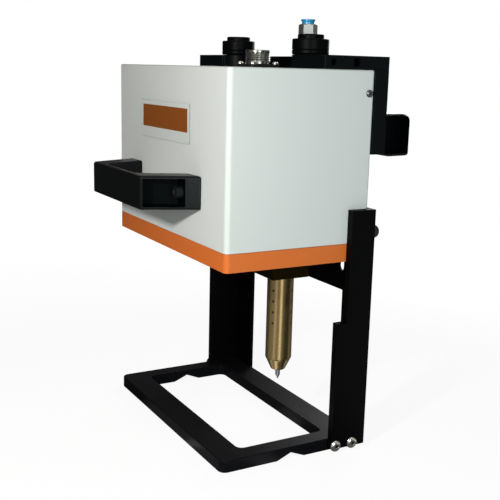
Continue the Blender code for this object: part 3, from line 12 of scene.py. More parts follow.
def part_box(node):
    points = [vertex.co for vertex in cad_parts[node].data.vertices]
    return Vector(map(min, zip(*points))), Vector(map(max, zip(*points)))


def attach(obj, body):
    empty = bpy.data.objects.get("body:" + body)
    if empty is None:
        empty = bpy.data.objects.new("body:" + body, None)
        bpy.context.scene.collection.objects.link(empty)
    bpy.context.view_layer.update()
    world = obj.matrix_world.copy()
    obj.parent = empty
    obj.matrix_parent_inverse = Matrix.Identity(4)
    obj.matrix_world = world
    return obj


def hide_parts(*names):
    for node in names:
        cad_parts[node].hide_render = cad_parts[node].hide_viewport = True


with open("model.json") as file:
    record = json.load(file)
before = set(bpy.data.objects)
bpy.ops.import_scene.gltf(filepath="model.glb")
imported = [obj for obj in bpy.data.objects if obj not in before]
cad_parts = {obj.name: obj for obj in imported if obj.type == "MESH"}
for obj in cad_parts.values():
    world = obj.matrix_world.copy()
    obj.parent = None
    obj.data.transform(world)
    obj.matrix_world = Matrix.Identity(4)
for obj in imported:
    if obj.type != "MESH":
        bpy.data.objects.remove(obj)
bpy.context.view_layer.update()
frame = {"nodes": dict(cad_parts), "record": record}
root = "head_and_stand"
frontY = float(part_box("cover")[0][1])
print("frame loaded")

# Fillets from fine to blunt, and how far a cutter reaches past what it cuts.
fine, crisp, keen, soft, eased, blunt = 0.00005, 0.0001, 0.0002, 0.0003, 0.0004, 0.0005
past = 0.004
limits = dict(straight=0.0005, openHalf=1.5, least=0.00002, point=0.000001, merge=0.000004,
              collapse=0.000002, bevelAngle=40, bevelSteps=2)


# Surfaces
def pick(shape, keys):
    # Several of a dictionary's values at once.
    return [shape[key] for key in keys.split()]


def boxOf(node, axis="Z"):
    # The node's box and its middle, seen along the axis.
    low, high = (np.array(corner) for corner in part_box(node))
    return low, high, ((low + high) / 2)[[i for i in range(3) if "XYZ"[i] != axis]]


def toSpace(axis, u, v, w):
    # Outline coordinates u, v and height w become a point whose height runs along the axis.
    return np.stack({"X": (w, u, v), "Y": (u, w, v), "Z": (u, v, w)}[axis], -1)


def unit(rows):
    return rows / np.linalg.norm(rows, axis=1)[:, None]


def filletOutline(corners, radii, steps):
    # Each corner gives way to an arc: centre on the bisector at radius / sin(half the corner's
    # angle), points = centre + start * sin((1 - t) a) / sin(a) + end * sin(t a) / sin(a).
    corners = np.asarray(corners, float)
    back = unit(np.roll(corners, 1, 0) - corners)
    ahead = unit(np.roll(corners, -1, 0) - corners)
    half = np.arccos(np.clip((back * ahead).sum(1), -1, 1)) / 2
    straight = half > math.pi / 2 - limits["straight"]
    middle = back + ahead
    middle[straight] = (1, 0)
    middle = unit(middle)
    half = np.where(straight, limits["openHalf"], half)
    radii = np.where(straight, 0, radii)
    centre = corners + middle * (radii / np.sin(half))[:, None]
    reach = (radii / np.tan(half))[:, None]
    start = corners + back * reach - centre
    end = corners + ahead * reach - centre
    sweep = (math.pi - 2 * half)[:, None]
    share = np.linspace(0, 1, steps + 1)[None]
    first = (np.sin((1 - share) * sweep) / np.sin(sweep))[..., None]
    last = (np.sin(share * sweep) / np.sin(sweep))[..., None]
    return (centre[:, None] + start[:, None] * first + end[:, None] * last).reshape(-1, 2)


def insetOutline(corners, radii, inset, steps):
    # The sides of an anticlockwise outline move inward by the inset: a corner moves by
    # (n1 + n2) / (1 + n1.n2), outer arcs shrink by the inset and inner arcs grow by it.
    corners = np.asarray(corners, float)
    side = unit(np.roll(corners, -1, 0) - corners)
    normal = np.stack((side[:, 1], -side[:, 0]), -1)
    before = np.roll(normal, 1, 0)
    shift = (before + normal) / (1 + (before * normal).sum(1))[:, None]
    last = np.roll(side, 1, 0)
    outward = last[:, 0] * side[:, 1] - last[:, 1] * side[:, 0] > 0
    radii = np.broadcast_to(np.asarray(radii, float), outward.shape)
    radii = np.maximum(radii + np.where(outward, -inset, inset), limits["least"])
    return filletOutline(corners - shift * inset, radii, steps)


def roundedLevels(low, high, lowRound, highRound, steps=4):
    # Heights and insets of a wall whose two rims are quarter circles:
    # inset = r (1 - sin a), distance from the rim = r (1 - cos a).
    angle = np.linspace(0, math.pi / 2, steps + 1)
    lower = np.stack((low + lowRound * (1 - np.cos(angle)), lowRound * (1 - np.sin(angle))), -1)
    upper = np.stack((high - highRound * (1 - np.cos(angle)), highRound * (1 - np.sin(angle))), -1)
    return np.concatenate((lower, upper[::-1]))


def through(low, high):
    # Levels of a cutter that comes out at both ends.
    return [(low - past, 0), (high + past, 0)]


def rectangle(low, high):
    return [(low[0], low[1]), (high[0], low[1]), (high[0], high[1]), (low[0], high[1])]


def prismShell(axis, corners, radii, levels, steps=6):
    # One outline per level, each drawn in by its level's inset: point(level, t).
    rings = [toSpace(axis, *insetOutline(corners, radii, inset, steps).T,
                     np.full(len(corners) * (steps + 1), height)) for height, inset in levels]
    return np.array(rings), "caps"


def softBox(low, high, rim, corner, axis="Z", steps=4):
    # Block between two corners, with rounded uprights and rims.
    order = {"X": (1, 2, 0), "Y": (0, 2, 1), "Z": (0, 1, 2)}[axis]
    low = [low[i] for i in order]
    high = [high[i] for i in order]
    levels = roundedLevels(low[2], high[2], rim, rim)
    return prismShell(axis, rectangle(low, high), corner, levels, steps)


def turnedShell(axis, centre, profile, steps=64, closed=False, shape=None, arcSteps=3):
    # Surface of revolution r(s), h(s): u = cu + r cos a, v = cv + r sin a. The profile's corners
    # are rounded, and shape(a, r, h) may change the radius, as for hexagons, knurls and threads.
    profile = np.array(profile, float)
    radii = profile[:, 2] if profile.shape[1] > 2 else np.full(len(profile), keen)
    profile = profile[:, :2]
    if not closed:
        profile[profile[:, 0] == 0, 0] = limits["least"]
        radii[[0, -1]] = limits["point"]
    line = filletOutline(profile, np.maximum(radii, limits["point"]), arcSteps)
    if not closed:
        line = line[arcSteps:len(line) - arcSteps]
    angle = np.arange(steps)[None] * 2 * math.pi / steps
    radius = line[:, :1] + 0 * angle
    height = line[:, 1:] + 0 * angle
    if shape is not None:
        radius = shape(angle + 0 * radius, radius, height)
    points = toSpace(axis, centre[0] + radius * np.cos(angle), centre[1] + radius * np.sin(angle),
                     height)
    return points, "loop" if closed else "caps"


def rodShell(axis, centre, radius, low, high, steps=64):
    return turnedShell(axis, centre, [(0, low), (radius, low), (radius, high), (0, high)], steps)


def shellFaces(rows, columns, closing, offset):
    # Quads between neighbouring rings, and a flat face on each open end.
    row = np.arange(rows if closing == "loop" else rows - 1)[:, None]
    column = np.arange(columns)[None]
    ahead = (row + 1) % rows
    beside = (column + 1) % columns
    quads = np.stack((row * columns + column, row * columns + beside,
                      ahead * columns + beside, ahead * columns + column), -1).reshape(-1, 4)
    faces = [quads + offset]
    if closing == "caps":
        faces.append(np.arange(columns)[None, ::-1] + offset)
        faces.append(np.arange(columns)[None] + (rows - 1) * columns + offset)
    return faces


def newObject(name, *shells):
    # Grids of points laid end to end in one mesh, merged, with the faces turned outward.
    faces = []
    points = []
    offset = 0
    for grid, closing in shells:
        faces += shellFaces(grid.shape[0], grid.shape[1], closing, offset)
        points.append(grid.reshape(-1, 3))
        offset += grid.shape[0] * grid.shape[1]
    points = np.concatenate(points)
    corners = np.concatenate([face.ravel() for face in faces])
    sizes = np.concatenate([np.full(len(face), face.shape[1]) for face in faces])
    mesh = bpy.data.meshes.new(name)
    mesh.vertices.add(len(points))
    mesh.vertices.foreach_set("co", points.ravel())
    mesh.loops.add(len(corners))
    mesh.loops.foreach_set("vertex_index", corners.astype(np.int32))
    mesh.polygons.add(len(sizes))
    starts = np.concatenate(([0], np.cumsum(sizes)[:-1]))
    mesh.polygons.foreach_set("loop_start", starts.astype(np.int32))
    mesh.update(calc_edges=True)
    bm = bmesh.new()
    bm.from_mesh(mesh)
    bmesh.ops.remove_doubles(bm, verts=bm.verts[:], dist=limits["merge"])
    bmesh.ops.dissolve_degenerate(bm, edges=bm.edges[:], dist=limits["collapse"])
    bmesh.ops.recalc_face_normals(bm, faces=bm.faces[:])
    bm.to_mesh(mesh)
    bm.free()
    piece = bpy.data.objects.new(name, mesh)
    bpy.context.scene.collection.objects.link(piece)
    return piece


def addModifier(piece, name, kind, **settings):
    modifier = piece.modifiers.new(name, kind)
    for key, value in settings.items():
        setattr(modifier, key, value)


def carve(piece, *shells):
    # The cutter's shells are taken out of the piece, and the result is kept.
    tool = newObject(piece.name + "Tool", *shells)
    addModifier(piece, "carve", "BOOLEAN", operation="DIFFERENCE", solver="EXACT", object=tool)
    bpy.context.view_layer.update()
    shaped = piece.evaluated_get(bpy.context.evaluated_depsgraph_get())
    mesh = bpy.data.meshes.new_from_object(shaped)
    old = piece.data
    piece.modifiers.clear()
    piece.data = mesh
    mesh.name = piece.name
    bpy.data.meshes.remove(old)
    bpy.data.objects.remove(tool, do_unlink=True)


def finishPiece(piece, finish, slot, *nodes, body=root, edge=0.0, sharp=35.0):
    # Rounds what is left sharp, shades the surface and hangs the piece on its body.
    mesh = piece.data
    mesh.materials.clear()
    mesh.materials.append(finishes[finish])
    mesh.shade_smooth()
    if edge > 0:
        addModifier(piece, "edges", "BEVEL", width=edge, segments=limits["bevelSteps"],
                    limit_method="ANGLE", angle_limit=math.radians(limits["bevelAngle"]),
                    use_clamp_overlap=True)
    else:
        mesh.set_sharp_from_angle(angle=math.radians(sharp))
    addModifier(piece, "shading", "WEIGHTED_NORMAL", keep_sharp=True)
    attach(piece, body)
    if nodes:
        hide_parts(*nodes)
    return piece


def faceRows(piece, what):
    # The centre or normal of each face, one row per face.
    rows = np.empty(len(piece.data.polygons) * 3)
    piece.data.polygons.foreach_get(what, rows)
    return rows.reshape(-1, 3)


def secondFinish(piece, finish, chosen):
    # The chosen faces take another finish.
    piece.data.materials.append(finishes[finish])
    piece.data.polygons.foreach_set("material_index", chosen.astype(np.int32))


def turnedPiece(name, axis, centre, profile, steps, finish, slot, *nodes, body=root, sharp=35.0,
                **how):
    # A turned surface, finished and hung on its body in one go.
    piece = newObject(name, turnedShell(axis, centre, profile, steps, **how))
    return finishPiece(piece, finish, slot, *nodes, body=body, sharp=sharp)


def slab(name, axis, corners, radii, low, high, rims, rimSteps, steps):
    # A plate of any outline: its two rims are rounded by the two radii.
    levels = roundedLevels(low, high, *rims, rimSteps)
    return newObject(name, prismShell(axis, corners, radii, levels, steps))


# Finishes
def feed(tree, socket, value):
    # An output is linked to the socket; anything else becomes its own value.
    if isinstance(value, bpy.types.NodeSocket):
        tree.links.new(value, socket)
    else:
        socket.default_value = value


def addNode(tree, kind, *inputs, settings=(), **named):
    node = tree.nodes.new("ShaderNode" + kind)
    for key, value in dict(settings).items():
        setattr(node, key, value)
    for index, value in enumerate(inputs):
        feed(tree, node.inputs[index], value)
    for key, value in named.items():
        feed(tree, node.inputs[key.replace("_", " ")], value)
    return node


def calculate(tree, value, *steps, clamp=False):
    # Takes the value through steps of an operation and its other number; the last may clamp.
    for operation, *other in steps:
        node = addNode(tree, "Math", value, *other, settings={"operation": operation})
        value = node.outputs[0]
    node.use_clamp = clamp
    return value


def ownPlace(tree):
    return addNode(tree, "TexCoord").outputs["Object"]


def objectNoise(tree, scale, detail, stretch=None, roughness=0.5):
    # Noise read from the object's own coordinates, drawn out along an axis where asked.
    place = ownPlace(tree)
    if stretch is not None:
        place = addNode(tree, "VectorMath", place, stretch,
                        settings={"operation": "MULTIPLY"}).outputs[0]
    return addNode(tree, "TexNoise", Vector=place, Scale=scale, Detail=detail,
                   Roughness=roughness).outputs["Fac"]


socketKinds = {"Colour": "NodeSocketColor", "Stretch": "NodeSocketVector"}
# How fine each noise is, and the scale and swing of the one that bends turned rings.
noiseShape = dict(grain=3.0, drift=4.0, gloss=3.0, marks=2.0, rings=2.0, ringScale=140.0,
                  ringSwing=3.0)


def makeGroup(name, build, output, inputs):
    # One shared effect: build(group, given) returns what the group's only output passes on.
    group = bpy.data.node_groups.new(name, "ShaderNodeTree")
    for title, end in [(title, "INPUT") for title in inputs.split()] + [(output, "OUTPUT")]:
        group.interface.new_socket(title, in_out=end,
                                   socket_type=socketKinds.get(title, "NodeSocketFloat"))
    given = group.nodes.new("NodeGroupInput").outputs
    out = group.nodes.new("NodeGroupOutput")
    group.links.new(build(group, given), out.inputs[output])
    return group


def fineGrain(group, given):
    # Fine raised grain: height = noise * depth.
    noise = objectNoise(group, given["Scale"], noiseShape["grain"])
    return calculate(group, noise, ("MULTIPLY", given["Depth"]))


dustLook = dict(colour=(0.3, 0.29, 0.27, 1.0), scale=150.0, detail=6.0, roughness=0.7,
                least=0.35, gain=2.0, power=4.0)


def surfaceColour(group, given):
    # Slow drift of a colour with dust on what looks up: colour * (1 + amount * (noise - 0.5)),
    # then mixed with the dust's colour by clamp(normal z)^4 * (fine noise - 0.35) * 2 * dust.
    factor = calculate(group, objectNoise(group, given["Scale"], noiseShape["drift"]),
                       ("SUBTRACT", 0.5), ("MULTIPLY", given["Amount"]), ("ADD", 1.0))
    scaled = addNode(group, "VectorMath", given["Colour"], Scale=factor,
                     settings={"operation": "SCALE"})
    normal = addNode(group, "NewGeometry").outputs["Normal"]
    upward = calculate(group, addNode(group, "SeparateXYZ", normal).outputs["Z"],
                       ("MAXIMUM", 0.0), ("POWER", dustLook["power"]))
    noise = objectNoise(group, dustLook["scale"], dustLook["detail"],
                        roughness=dustLook["roughness"])
    speck = calculate(group, calculate(group, noise, ("SUBTRACT", dustLook["least"]), clamp=True),
                      ("MULTIPLY", dustLook["gain"]))
    share = calculate(group, upward, ("MULTIPLY", speck), ("MULTIPLY", given["Dust"]), clamp=True)
    mix = addNode(group, "Mix", share, settings={"data_type": "RGBA"})
    feed(group, mix.inputs[6], scaled.outputs[0])
    feed(group, mix.inputs[7], dustLook["colour"])
    return mix.outputs[2]


def unevenGloss(group, given):
    # Uneven gloss: roughness + amount * (noise - 0.5).
    swing = calculate(group, objectNoise(group, given["Scale"], noiseShape["gloss"]),
                      ("SUBTRACT", 0.5), ("MULTIPLY", given["Amount"]))
    return calculate(group, given["Roughness"], ("ADD", swing), clamp=True)


def toolMarks(group, given):
    # Tool marks: noise drawn out along the direction where Stretch is small.
    noise = objectNoise(group, given["Scale"], noiseShape["marks"], given["Stretch"])
    return calculate(group, noise, ("MULTIPLY", given["Depth"]))


def turnedRings(group, given):
    # Turned rings along Z: height = depth * (0.5 + 0.5 sin(2 pi (z / pitch + 3 noise))).
    height = addNode(group, "SeparateXYZ", ownPlace(group)).outputs["Z"]
    detail, scale, swing = pick(noiseShape, "rings ringScale ringSwing")
    wobble = calculate(group, objectNoise(group, scale, detail), ("MULTIPLY", swing))
    return calculate(group, height, ("DIVIDE", given["Pitch"]), ("ADD", wobble),
                     ("MULTIPLY", 2 * math.pi), ("SINE",), ("ADD", 1.0),
                     ("MULTIPLY", calculate(group, given["Depth"], ("MULTIPLY", 0.5))))


groups = {
    "grain": makeGroup("fineGrain", fineGrain, "Height", "Scale Depth"),
    "colour": makeGroup("surfaceColour", surfaceColour, "Colour", "Colour Scale Amount Dust"),
    "rough": makeGroup("unevenGloss", unevenGloss, "Roughness", "Roughness Scale Amount"),
    "stroke": makeGroup("toolMarks", toolMarks, "Height", "Stretch Scale Depth"),
    "rings": makeGroup("turnedRings", turnedRings, "Height", "Pitch Depth")}
print("node groups built")


def placeGroup(tree, key, **values):
    node = tree.nodes.new("ShaderNodeGroup")
    node.node_tree = groups[key]
    for name, value in values.items():
        node.inputs[name].default_value = value
    return node.outputs[0]


plainLook = dict(metallic=0.0, specular=0.5, drift=0.08, driftScale=18.0, dust=0.0, uneven=0.12,
                 roughScale=70.0, bumpDistance=0.0003)


def newFinish(name, look):
    # Colour drifts, gloss varies, and one kind of relief feeds the bump.
    look = {**plainLook, **look}
    material = bpy.data.materials.new(name)
    material.use_nodes = True
    tree = material.node_tree
    depth = look["depth"]
    if "rings" in look:
        relief = placeGroup(tree, "rings", Pitch=look["rings"], Depth=depth)
    elif "stretch" in look:
        relief = placeGroup(tree, "stroke", Stretch=look["stretch"], Scale=look["reliefScale"],
                            Depth=depth)
    else:
        relief = placeGroup(tree, "grain", Scale=look["reliefScale"], Depth=depth)
    bump = addNode(tree, "Bump", Strength=look["bump"], Distance=look["bumpDistance"],
                   Height=relief)
    sockets = {
        "Metallic": look["metallic"], "Specular IOR Level": look["specular"],
        "Base Color": placeGroup(tree, "colour", Colour=(*look["colour"], 1.0),
                                 Scale=look["driftScale"], Amount=look["drift"],
                                 Dust=look["dust"]),
        "Roughness": placeGroup(tree, "rough", Roughness=look["roughness"],
                                Scale=look["roughScale"], Amount=look["uneven"]),
        "Normal": bump.outputs["Normal"]}
    for name, value in sockets.items():
        feed(tree, tree.nodes["Principled BSDF"].inputs[name], value)
    return material


def srgb(red, green, blue):
    value = np.array((red, green, blue)) / 255
    value = np.where(value <= 0.04045, value / 12.92, ((value + 0.055) / 1.055) ** 2.4)
    return tuple(float(part) for part in value)


paint = dict(reliefScale=1400.0, depth=0.5, specular=0.3)
label = dict(roughness=0.4, drift=0.02, reliefScale=1200.0, depth=0.4, bump=0.05, specular=0.3)
coarse = dict(drift=0.3, driftScale=50.0, reliefScale=1500.0, depth=0.8, specular=0.05)
moulded = dict(drift=0.2, driftScale=60.0, reliefScale=1700.0, depth=0.8, bump=0.3)
bare = dict(metallic=1.0, roughness=0.22, reliefScale=1600.0, depth=0.4, bump=0.08)
dark = dict(reliefScale=1500.0, depth=0.5, bump=0.15)
looks = {
    "whitePaint": dict(paint, colour=srgb(212, 215, 212), roughness=0.48, drift=0.03, bump=0.10,
                       specular=0.26),
    "orangePaint": dict(paint, colour=srgb(214, 110, 44), roughness=0.44, drift=0.05, bump=0.12),
    "blackAnodised": dict(colour=srgb(4, 8, 9), roughness=0.44, drift=0.35, driftScale=40.0,
                          reliefScale=2400.0, depth=0.6, bump=0.18, specular=0.07, dust=0.01),
    "blackPaint": dict(coarse, colour=srgb(14, 14, 17), roughness=0.42, bump=0.3, dust=0.01),
    "postPaint": dict(coarse, colour=srgb(3, 3, 3), roughness=0.5, bump=0.2),
    "blackPlastic": dict(moulded, colour=srgb(5, 6, 7), roughness=0.32, specular=0.14),
    # Darker and duller than the handle's plastic: painted shade inside the handles' pockets.
    "pocketShadePlastic": dict(moulded, colour=srgb(3, 5, 6), roughness=0.5, specular=0.03),
    "buttonPlastic": dict(moulded, colour=srgb(3, 4, 4), roughness=0.42, bump=0.2,
                          specular=0.04),
    "panelBrown": dict(label, colour=srgb(138, 74, 22), roughness=0.38, drift=0.06, bump=0.06),
    "plateWhite": dict(label, colour=srgb(210, 213, 209)),
    # The darker grey of the plate's edges: painted shade along its rim.
    "plateEdgeShade": dict(label, colour=srgb(150, 150, 146)),
    "milledAlloy": dict(bare, colour=(0.62, 0.63, 0.64), roughness=0.36, stretch=(0.04, 1.0, 1.0),
                        reliefScale=1400.0, depth=0.6, bump=0.2),
    "groundSteel": dict(bare, colour=(0.60, 0.60, 0.61), reliefScale=1800.0),
    "stainless": dict(bare, colour=(0.72, 0.68, 0.62)),
    "darkSteel": dict(bare, colour=(0.13, 0.13, 0.135), roughness=0.25, bump=0.1),
    "gripScrew": dict(dark, colour=(0.008, 0.008, 0.009), roughness=0.26, specular=0.12),
    "blackOxide": dict(dark, colour=(0.03, 0.03, 0.033), roughness=0.36, metallic=0.5,
                       reliefScale=1600.0, specular=0.3),
    "oliveBrass": dict(colour=(0.42, 0.30, 0.13), roughness=0.15, metallic=0.88, drift=0.12,
                       driftScale=60.0, rings=0.00035, depth=0.5, bump=0.10, uneven=0.1),
    "nickelPlate": dict(bare, colour=(0.30, 0.30, 0.29), roughness=0.5, reliefScale=1500.0),
    "darkNickel": dict(colour=(0.27, 0.265, 0.235), roughness=0.24, metallic=1.0, drift=0.3,
                       driftScale=160.0, reliefScale=900.0, depth=0.5, bump=0.15),
    "flangeBlack": dict(dark, colour=(0.012, 0.012, 0.013), roughness=0.45, metallic=0.2,
                        specular=0.2),
    "bronzeBlock": dict(colour=srgb(30, 22, 7), roughness=0.55, drift=0.2,
                        stretch=(1.0, 1.0, 0.05), reliefScale=1300.0, depth=0.5, bump=0.15,
                        specular=0.02),
    "bluePlastic": dict(label, colour=srgb(24, 142, 196), roughness=0.3, drift=0.05,
                        specular=0.5),
    "motorBlack": dict(dark, colour=(0.02, 0.02, 0.022), roughness=0.5, drift=0.2, depth=0.6,
                       bump=0.2, specular=0.4),
    "pinSteel": dict(bare, colour=(0.40, 0.40, 0.42), roughness=0.28, rings=0.0003, depth=0.5,
                     bump=0.1)}
finishes = {name: newFinish(name, look) for name, look in looks.items()}
slotFinish = {"white_paint": "whitePaint", "orange_paint": "orangePaint",
              "black_anodised": "blackAnodised", "black_plastic": "blackPlastic",
              "aluminium": "milledAlloy", "bright_steel": "groundSteel",
              "dark_steel": "blackOxide", "brass": "oliveBrass", "nickel": "nickelPlate",
              "dark_bronze": "bronzeBlock", "blue_plastic": "bluePlastic",
              "motor_black": "motorBlack"}
for part in frame["record"]["subparts"]:
    node = frame["nodes"][part["node"]]
    node.data.materials.clear()
    node.data.materials.append(finishes[slotFinish[part["material_slot"]]])
print("finishes made")


# Casing
coverShape = dict(frontCorner=0.0040, rearCorner=0.002, wall=0.0015, topRound=0.0015,
                  rimRound=0.0003, sharp=50, steps=10)
chassisShape = dict(wall=0.004, floor=0.004, rimRound=0.0005, trayCorner=0.0015,
                    windowHalf=0.076, windowFront=0.020, windowRear=0.113, windowCorner=0.006)


def buildCasing():
    low, high, _ = boxOf("cover")
    wall, rimRound, steps = pick(coverShape, "wall rimRound steps")
    radii = pick(coverShape, "frontCorner frontCorner rearCorner rearCorner")
    outside = roundedLevels(low[2], high[2], rimRound, coverShape["topRound"], 6)
    levels = list(outside[::-1]) + [(low[2], wall), (high[2] - wall, wall)]
    piece = newObject("coverSheet", prismShell("Z", rectangle(low, high), radii, levels, steps))
    finishPiece(piece, "whitePaint", "white_paint", "cover", sharp=coverShape["sharp"])
    low, high, _ = boxOf("chassis")
    wall, floor, rimRound, half, front, rear = pick(
        chassisShape, "wall floor rimRound windowHalf windowFront windowRear")
    piece = slab("chassisTray", "Z", rectangle(low, high), radii, low[2], high[2],
                 (rimRound, rimRound), 3, steps)
    carve(piece, prismShell("Z", rectangle(low + wall, high - wall), chassisShape["trayCorner"],
                            [(low[2] + floor, 0), (high[2] + wall, 0)], 4))
    carve(piece, prismShell("Z", rectangle((-half, low[1] + front), (half, low[1] + rear)),
                            chassisShape["windowCorner"], [(low[2] - wall, 0), (high[2], 0)], 6))
    finishPiece(piece, "orangePaint", "orange_paint", "chassis", edge=soft)


buildCasing()

# Name plate: a bare panel on a white plate, whose thin edges are painted a darker grey as shade
plateShape = dict(corner=0.0015, rim=0.0002, rimFacing=0.8, panelLeft=-0.0486, panelRight=0.0429,
                  panelLow=0.2652, panelHigh=0.2842, panelRise=0.00012, panelCorner=0.0006)


def buildNamePlate():
    low, high, _ = boxOf("name_plate")
    rim, rise, corner = pick(plateShape, "rim panelRise panelCorner")
    left, right, below, above = pick(plateShape, "panelLeft panelRight panelLow panelHigh")
    plate = newObject("namePlate", softBox(low, high, rim, plateShape["corner"], "Y"))
    finishPiece(plate, "plateWhite", "white_paint", "name_plate")
    # The plate's thin edges take a darker grey: painted shade along its rim.
    facing = np.abs(faceRows(plate, "normal")[:, 1])
    secondFinish(plate, "plateEdgeShade", facing < plateShape["rimFacing"])
    panel = newObject("namePanel", softBox((left, low[1] - rise, below),
                                           (right, low[1] + rim, above), rise / 2, corner, "Y"))
    finishPiece(panel, "panelBrown", "white_paint")


buildNamePlate()
print("casing done")


# Handles
frontHandle = dict(footHalf=0.072, barHalf=0.054, footWidth=0.022, bar=0.006, reach=0.045,
                   topRound=0.0022, bottomRound=0.0016, corner=0.004, centre=-0.004, out=-1)
rearHandle = dict(footHalf=0.088, barHalf=0.0824, footWidth=0.028, bar=0.021, reach=0.052,
                  topRound=0.0068, bottomRound=0.002, corner=0.012, centre=0.0, out=1,
                  footLift=0.0053, footTaper=0.024)
handleShape = dict(innerCorner=0.006, footCorner=0.0008, marginZ=0.0022, frontMargin=0.0025,
                   pocket=0.015, seat=0.0117, rib=0.0024, ribRise=0.0012, pocketRound=0.0005,
                   edge=0.0006, frontLimit=0.001, depthLimit=1.05)
handleKeys = "footHalf barHalf reach centre out"


def handlePlan(handle, wall):
    # Corners and radii of the plan: slanting legs and a bar, anticlockwise.
    footHalf, barHalf, reach, centre, out = pick(handle, handleKeys)
    foot = handleShape["footCorner"]
    innerReach = reach - handle["bar"]
    innerFoot = footHalf - handle["footWidth"]
    innerHalf = innerFoot - (footHalf - barHalf) / reach * innerReach
    right = [(footHalf, 0, foot), (barHalf, reach, handle["corner"])]
    inner = [(innerHalf, innerReach, handleShape["innerCorner"]), (innerFoot, 0, foot)]
    plan = right + [(-x, y, r) for x, y, r in right[::-1] + inner[::-1]] + inner
    return np.array([(centre + x, wall + out * y, r) for x, y, r in plan][::1 if out > 0 else -1])


def handlePocket(handle, wall, side):
    # Corners of a leg's pocket seen from above: it ends at the screw's seat, beside a low rib.
    footHalf, barHalf, reach, centre, out = pick(handle, handleKeys)
    margin, pocket, seat, rib, rise = pick(handleShape, "frontMargin pocket seat rib ribRise")
    slope = (footHalf - barHalf) / reach
    length = math.hypot(1, slope)
    run = np.array((slope / length, -1 / length))
    inward = np.array((-1 / length, -slope / length))
    start = np.array((barHalf, reach)) + run * margin
    floor = start + inward * pocket
    floorEnd = floor + run * (floor[1] - seat) / -run[1]
    ribStart = floorEnd - run * rib
    ribEnd = floorEnd - inward * rise
    ribEnd = (ribEnd[0] - slope * (seat - ribEnd[1]), seat)
    points = np.array([start - inward * past, floor, ribStart, ribStart - inward * rise, ribEnd,
                       (footHalf + past, seat)])
    points = points * (side, out) + (centre, wall)
    return points if side * out > 0 else points[::-1]


def buildHandle(name, node, handle):
    low, high, _ = boxOf(node)
    footHalf, barHalf, reach, centre, out = pick(handle, handleKeys)
    margin, pocketRound, edge = pick(handleShape, "marginZ pocketRound edge")
    wall = high[1] if out < 0 else low[1]
    plan = handlePlan(handle, wall)
    piece = slab(name, "Z", plan[:, :2], plan[:, 2], low[2], high[2],
                 pick(handle, "bottomRound topRound"), 5, 6)
    below, above = low[2] + margin, high[2] - margin
    levels = roundedLevels(below, above, pocketRound, pocketRound, 3)
    for side in (-1, 1):
        carve(piece, prismShell("Z", handlePocket(handle, wall, side), soft, levels, 3))
    if "footLift" in handle:
        lift, taper = low[2] + handle["footLift"], wall + handle["footTaper"]
        wedge = [(wall - past, low[2] - past), (taper, low[2] - past), (taper, low[2]),
                 (wall, lift), (wall - past, lift)]
        carve(piece, prismShell("X", wedge, crisp, through(low[0], high[0]), 2))
    finishPiece(piece, "blackPlastic", "black_plastic", node, edge=edge)
    # Faces sunk behind a leg's outer side, by less than the pocket's depth, take a darker, duller
    # plastic: painted shade inside the pocket.
    x, y, z = faceRows(piece, "center").T
    run = out * (y - wall)
    slope = (footHalf - barHalf) / reach
    sunk = (footHalf - slope * run - np.abs(x - centre)) / math.hypot(1, slope)
    secondFinish(piece, "pocketShadePlastic",
                 (sunk > edge) & (sunk < handleShape["pocket"] * handleShape["depthLimit"])
                 & (run > handleShape["seat"] - keen) & (run < reach - handleShape["frontLimit"])
                 & (z > below - keen) & (z < above + keen))


buildHandle("frontGrip", "front_handle", frontHandle)
buildHandle("rearGrip", "rear_handle", rearHandle)
print("handles done")

# Screws: turned heads with a hexagonal socket
footHead = dict(height=0.0027, flat=0.0021, radius=0.0050, shank=0.0025, socket=0.003,
                depth=0.0016)
coverHead = dict(height=0.0019, flat=0.0014, radius=0.0031, shank=0.0015, socket=0.0020,
                 depth=0.0011)
gripHead = dict(height=0.006, radius=0.005, shank=0.003, socket=0.0050, depth=0.003, rim=0.0005,
                knurl=30)
# socketShadeReach and socketShadeDepth bound the faces inside the socket painted dark: oxide and
# dirt, and painted shade.
headShape = dict(mouth=1.22, hexReach=1.1, socketShadeReach=1.16, socketShadeDepth=0.005, domeStart=0.12,
                 domeEnd=0.9, domeRows=7, knurlReach=0.97, knurlDepth=0.00022)


def hexagon(flat, angle):
    # Radius of a hexagon: flat / (2 cos a'), with a' folded into 30 degrees either way.
    return flat / 2 / np.cos((angle + math.pi / 6) % (math.pi / 3) - math.pi / 6)


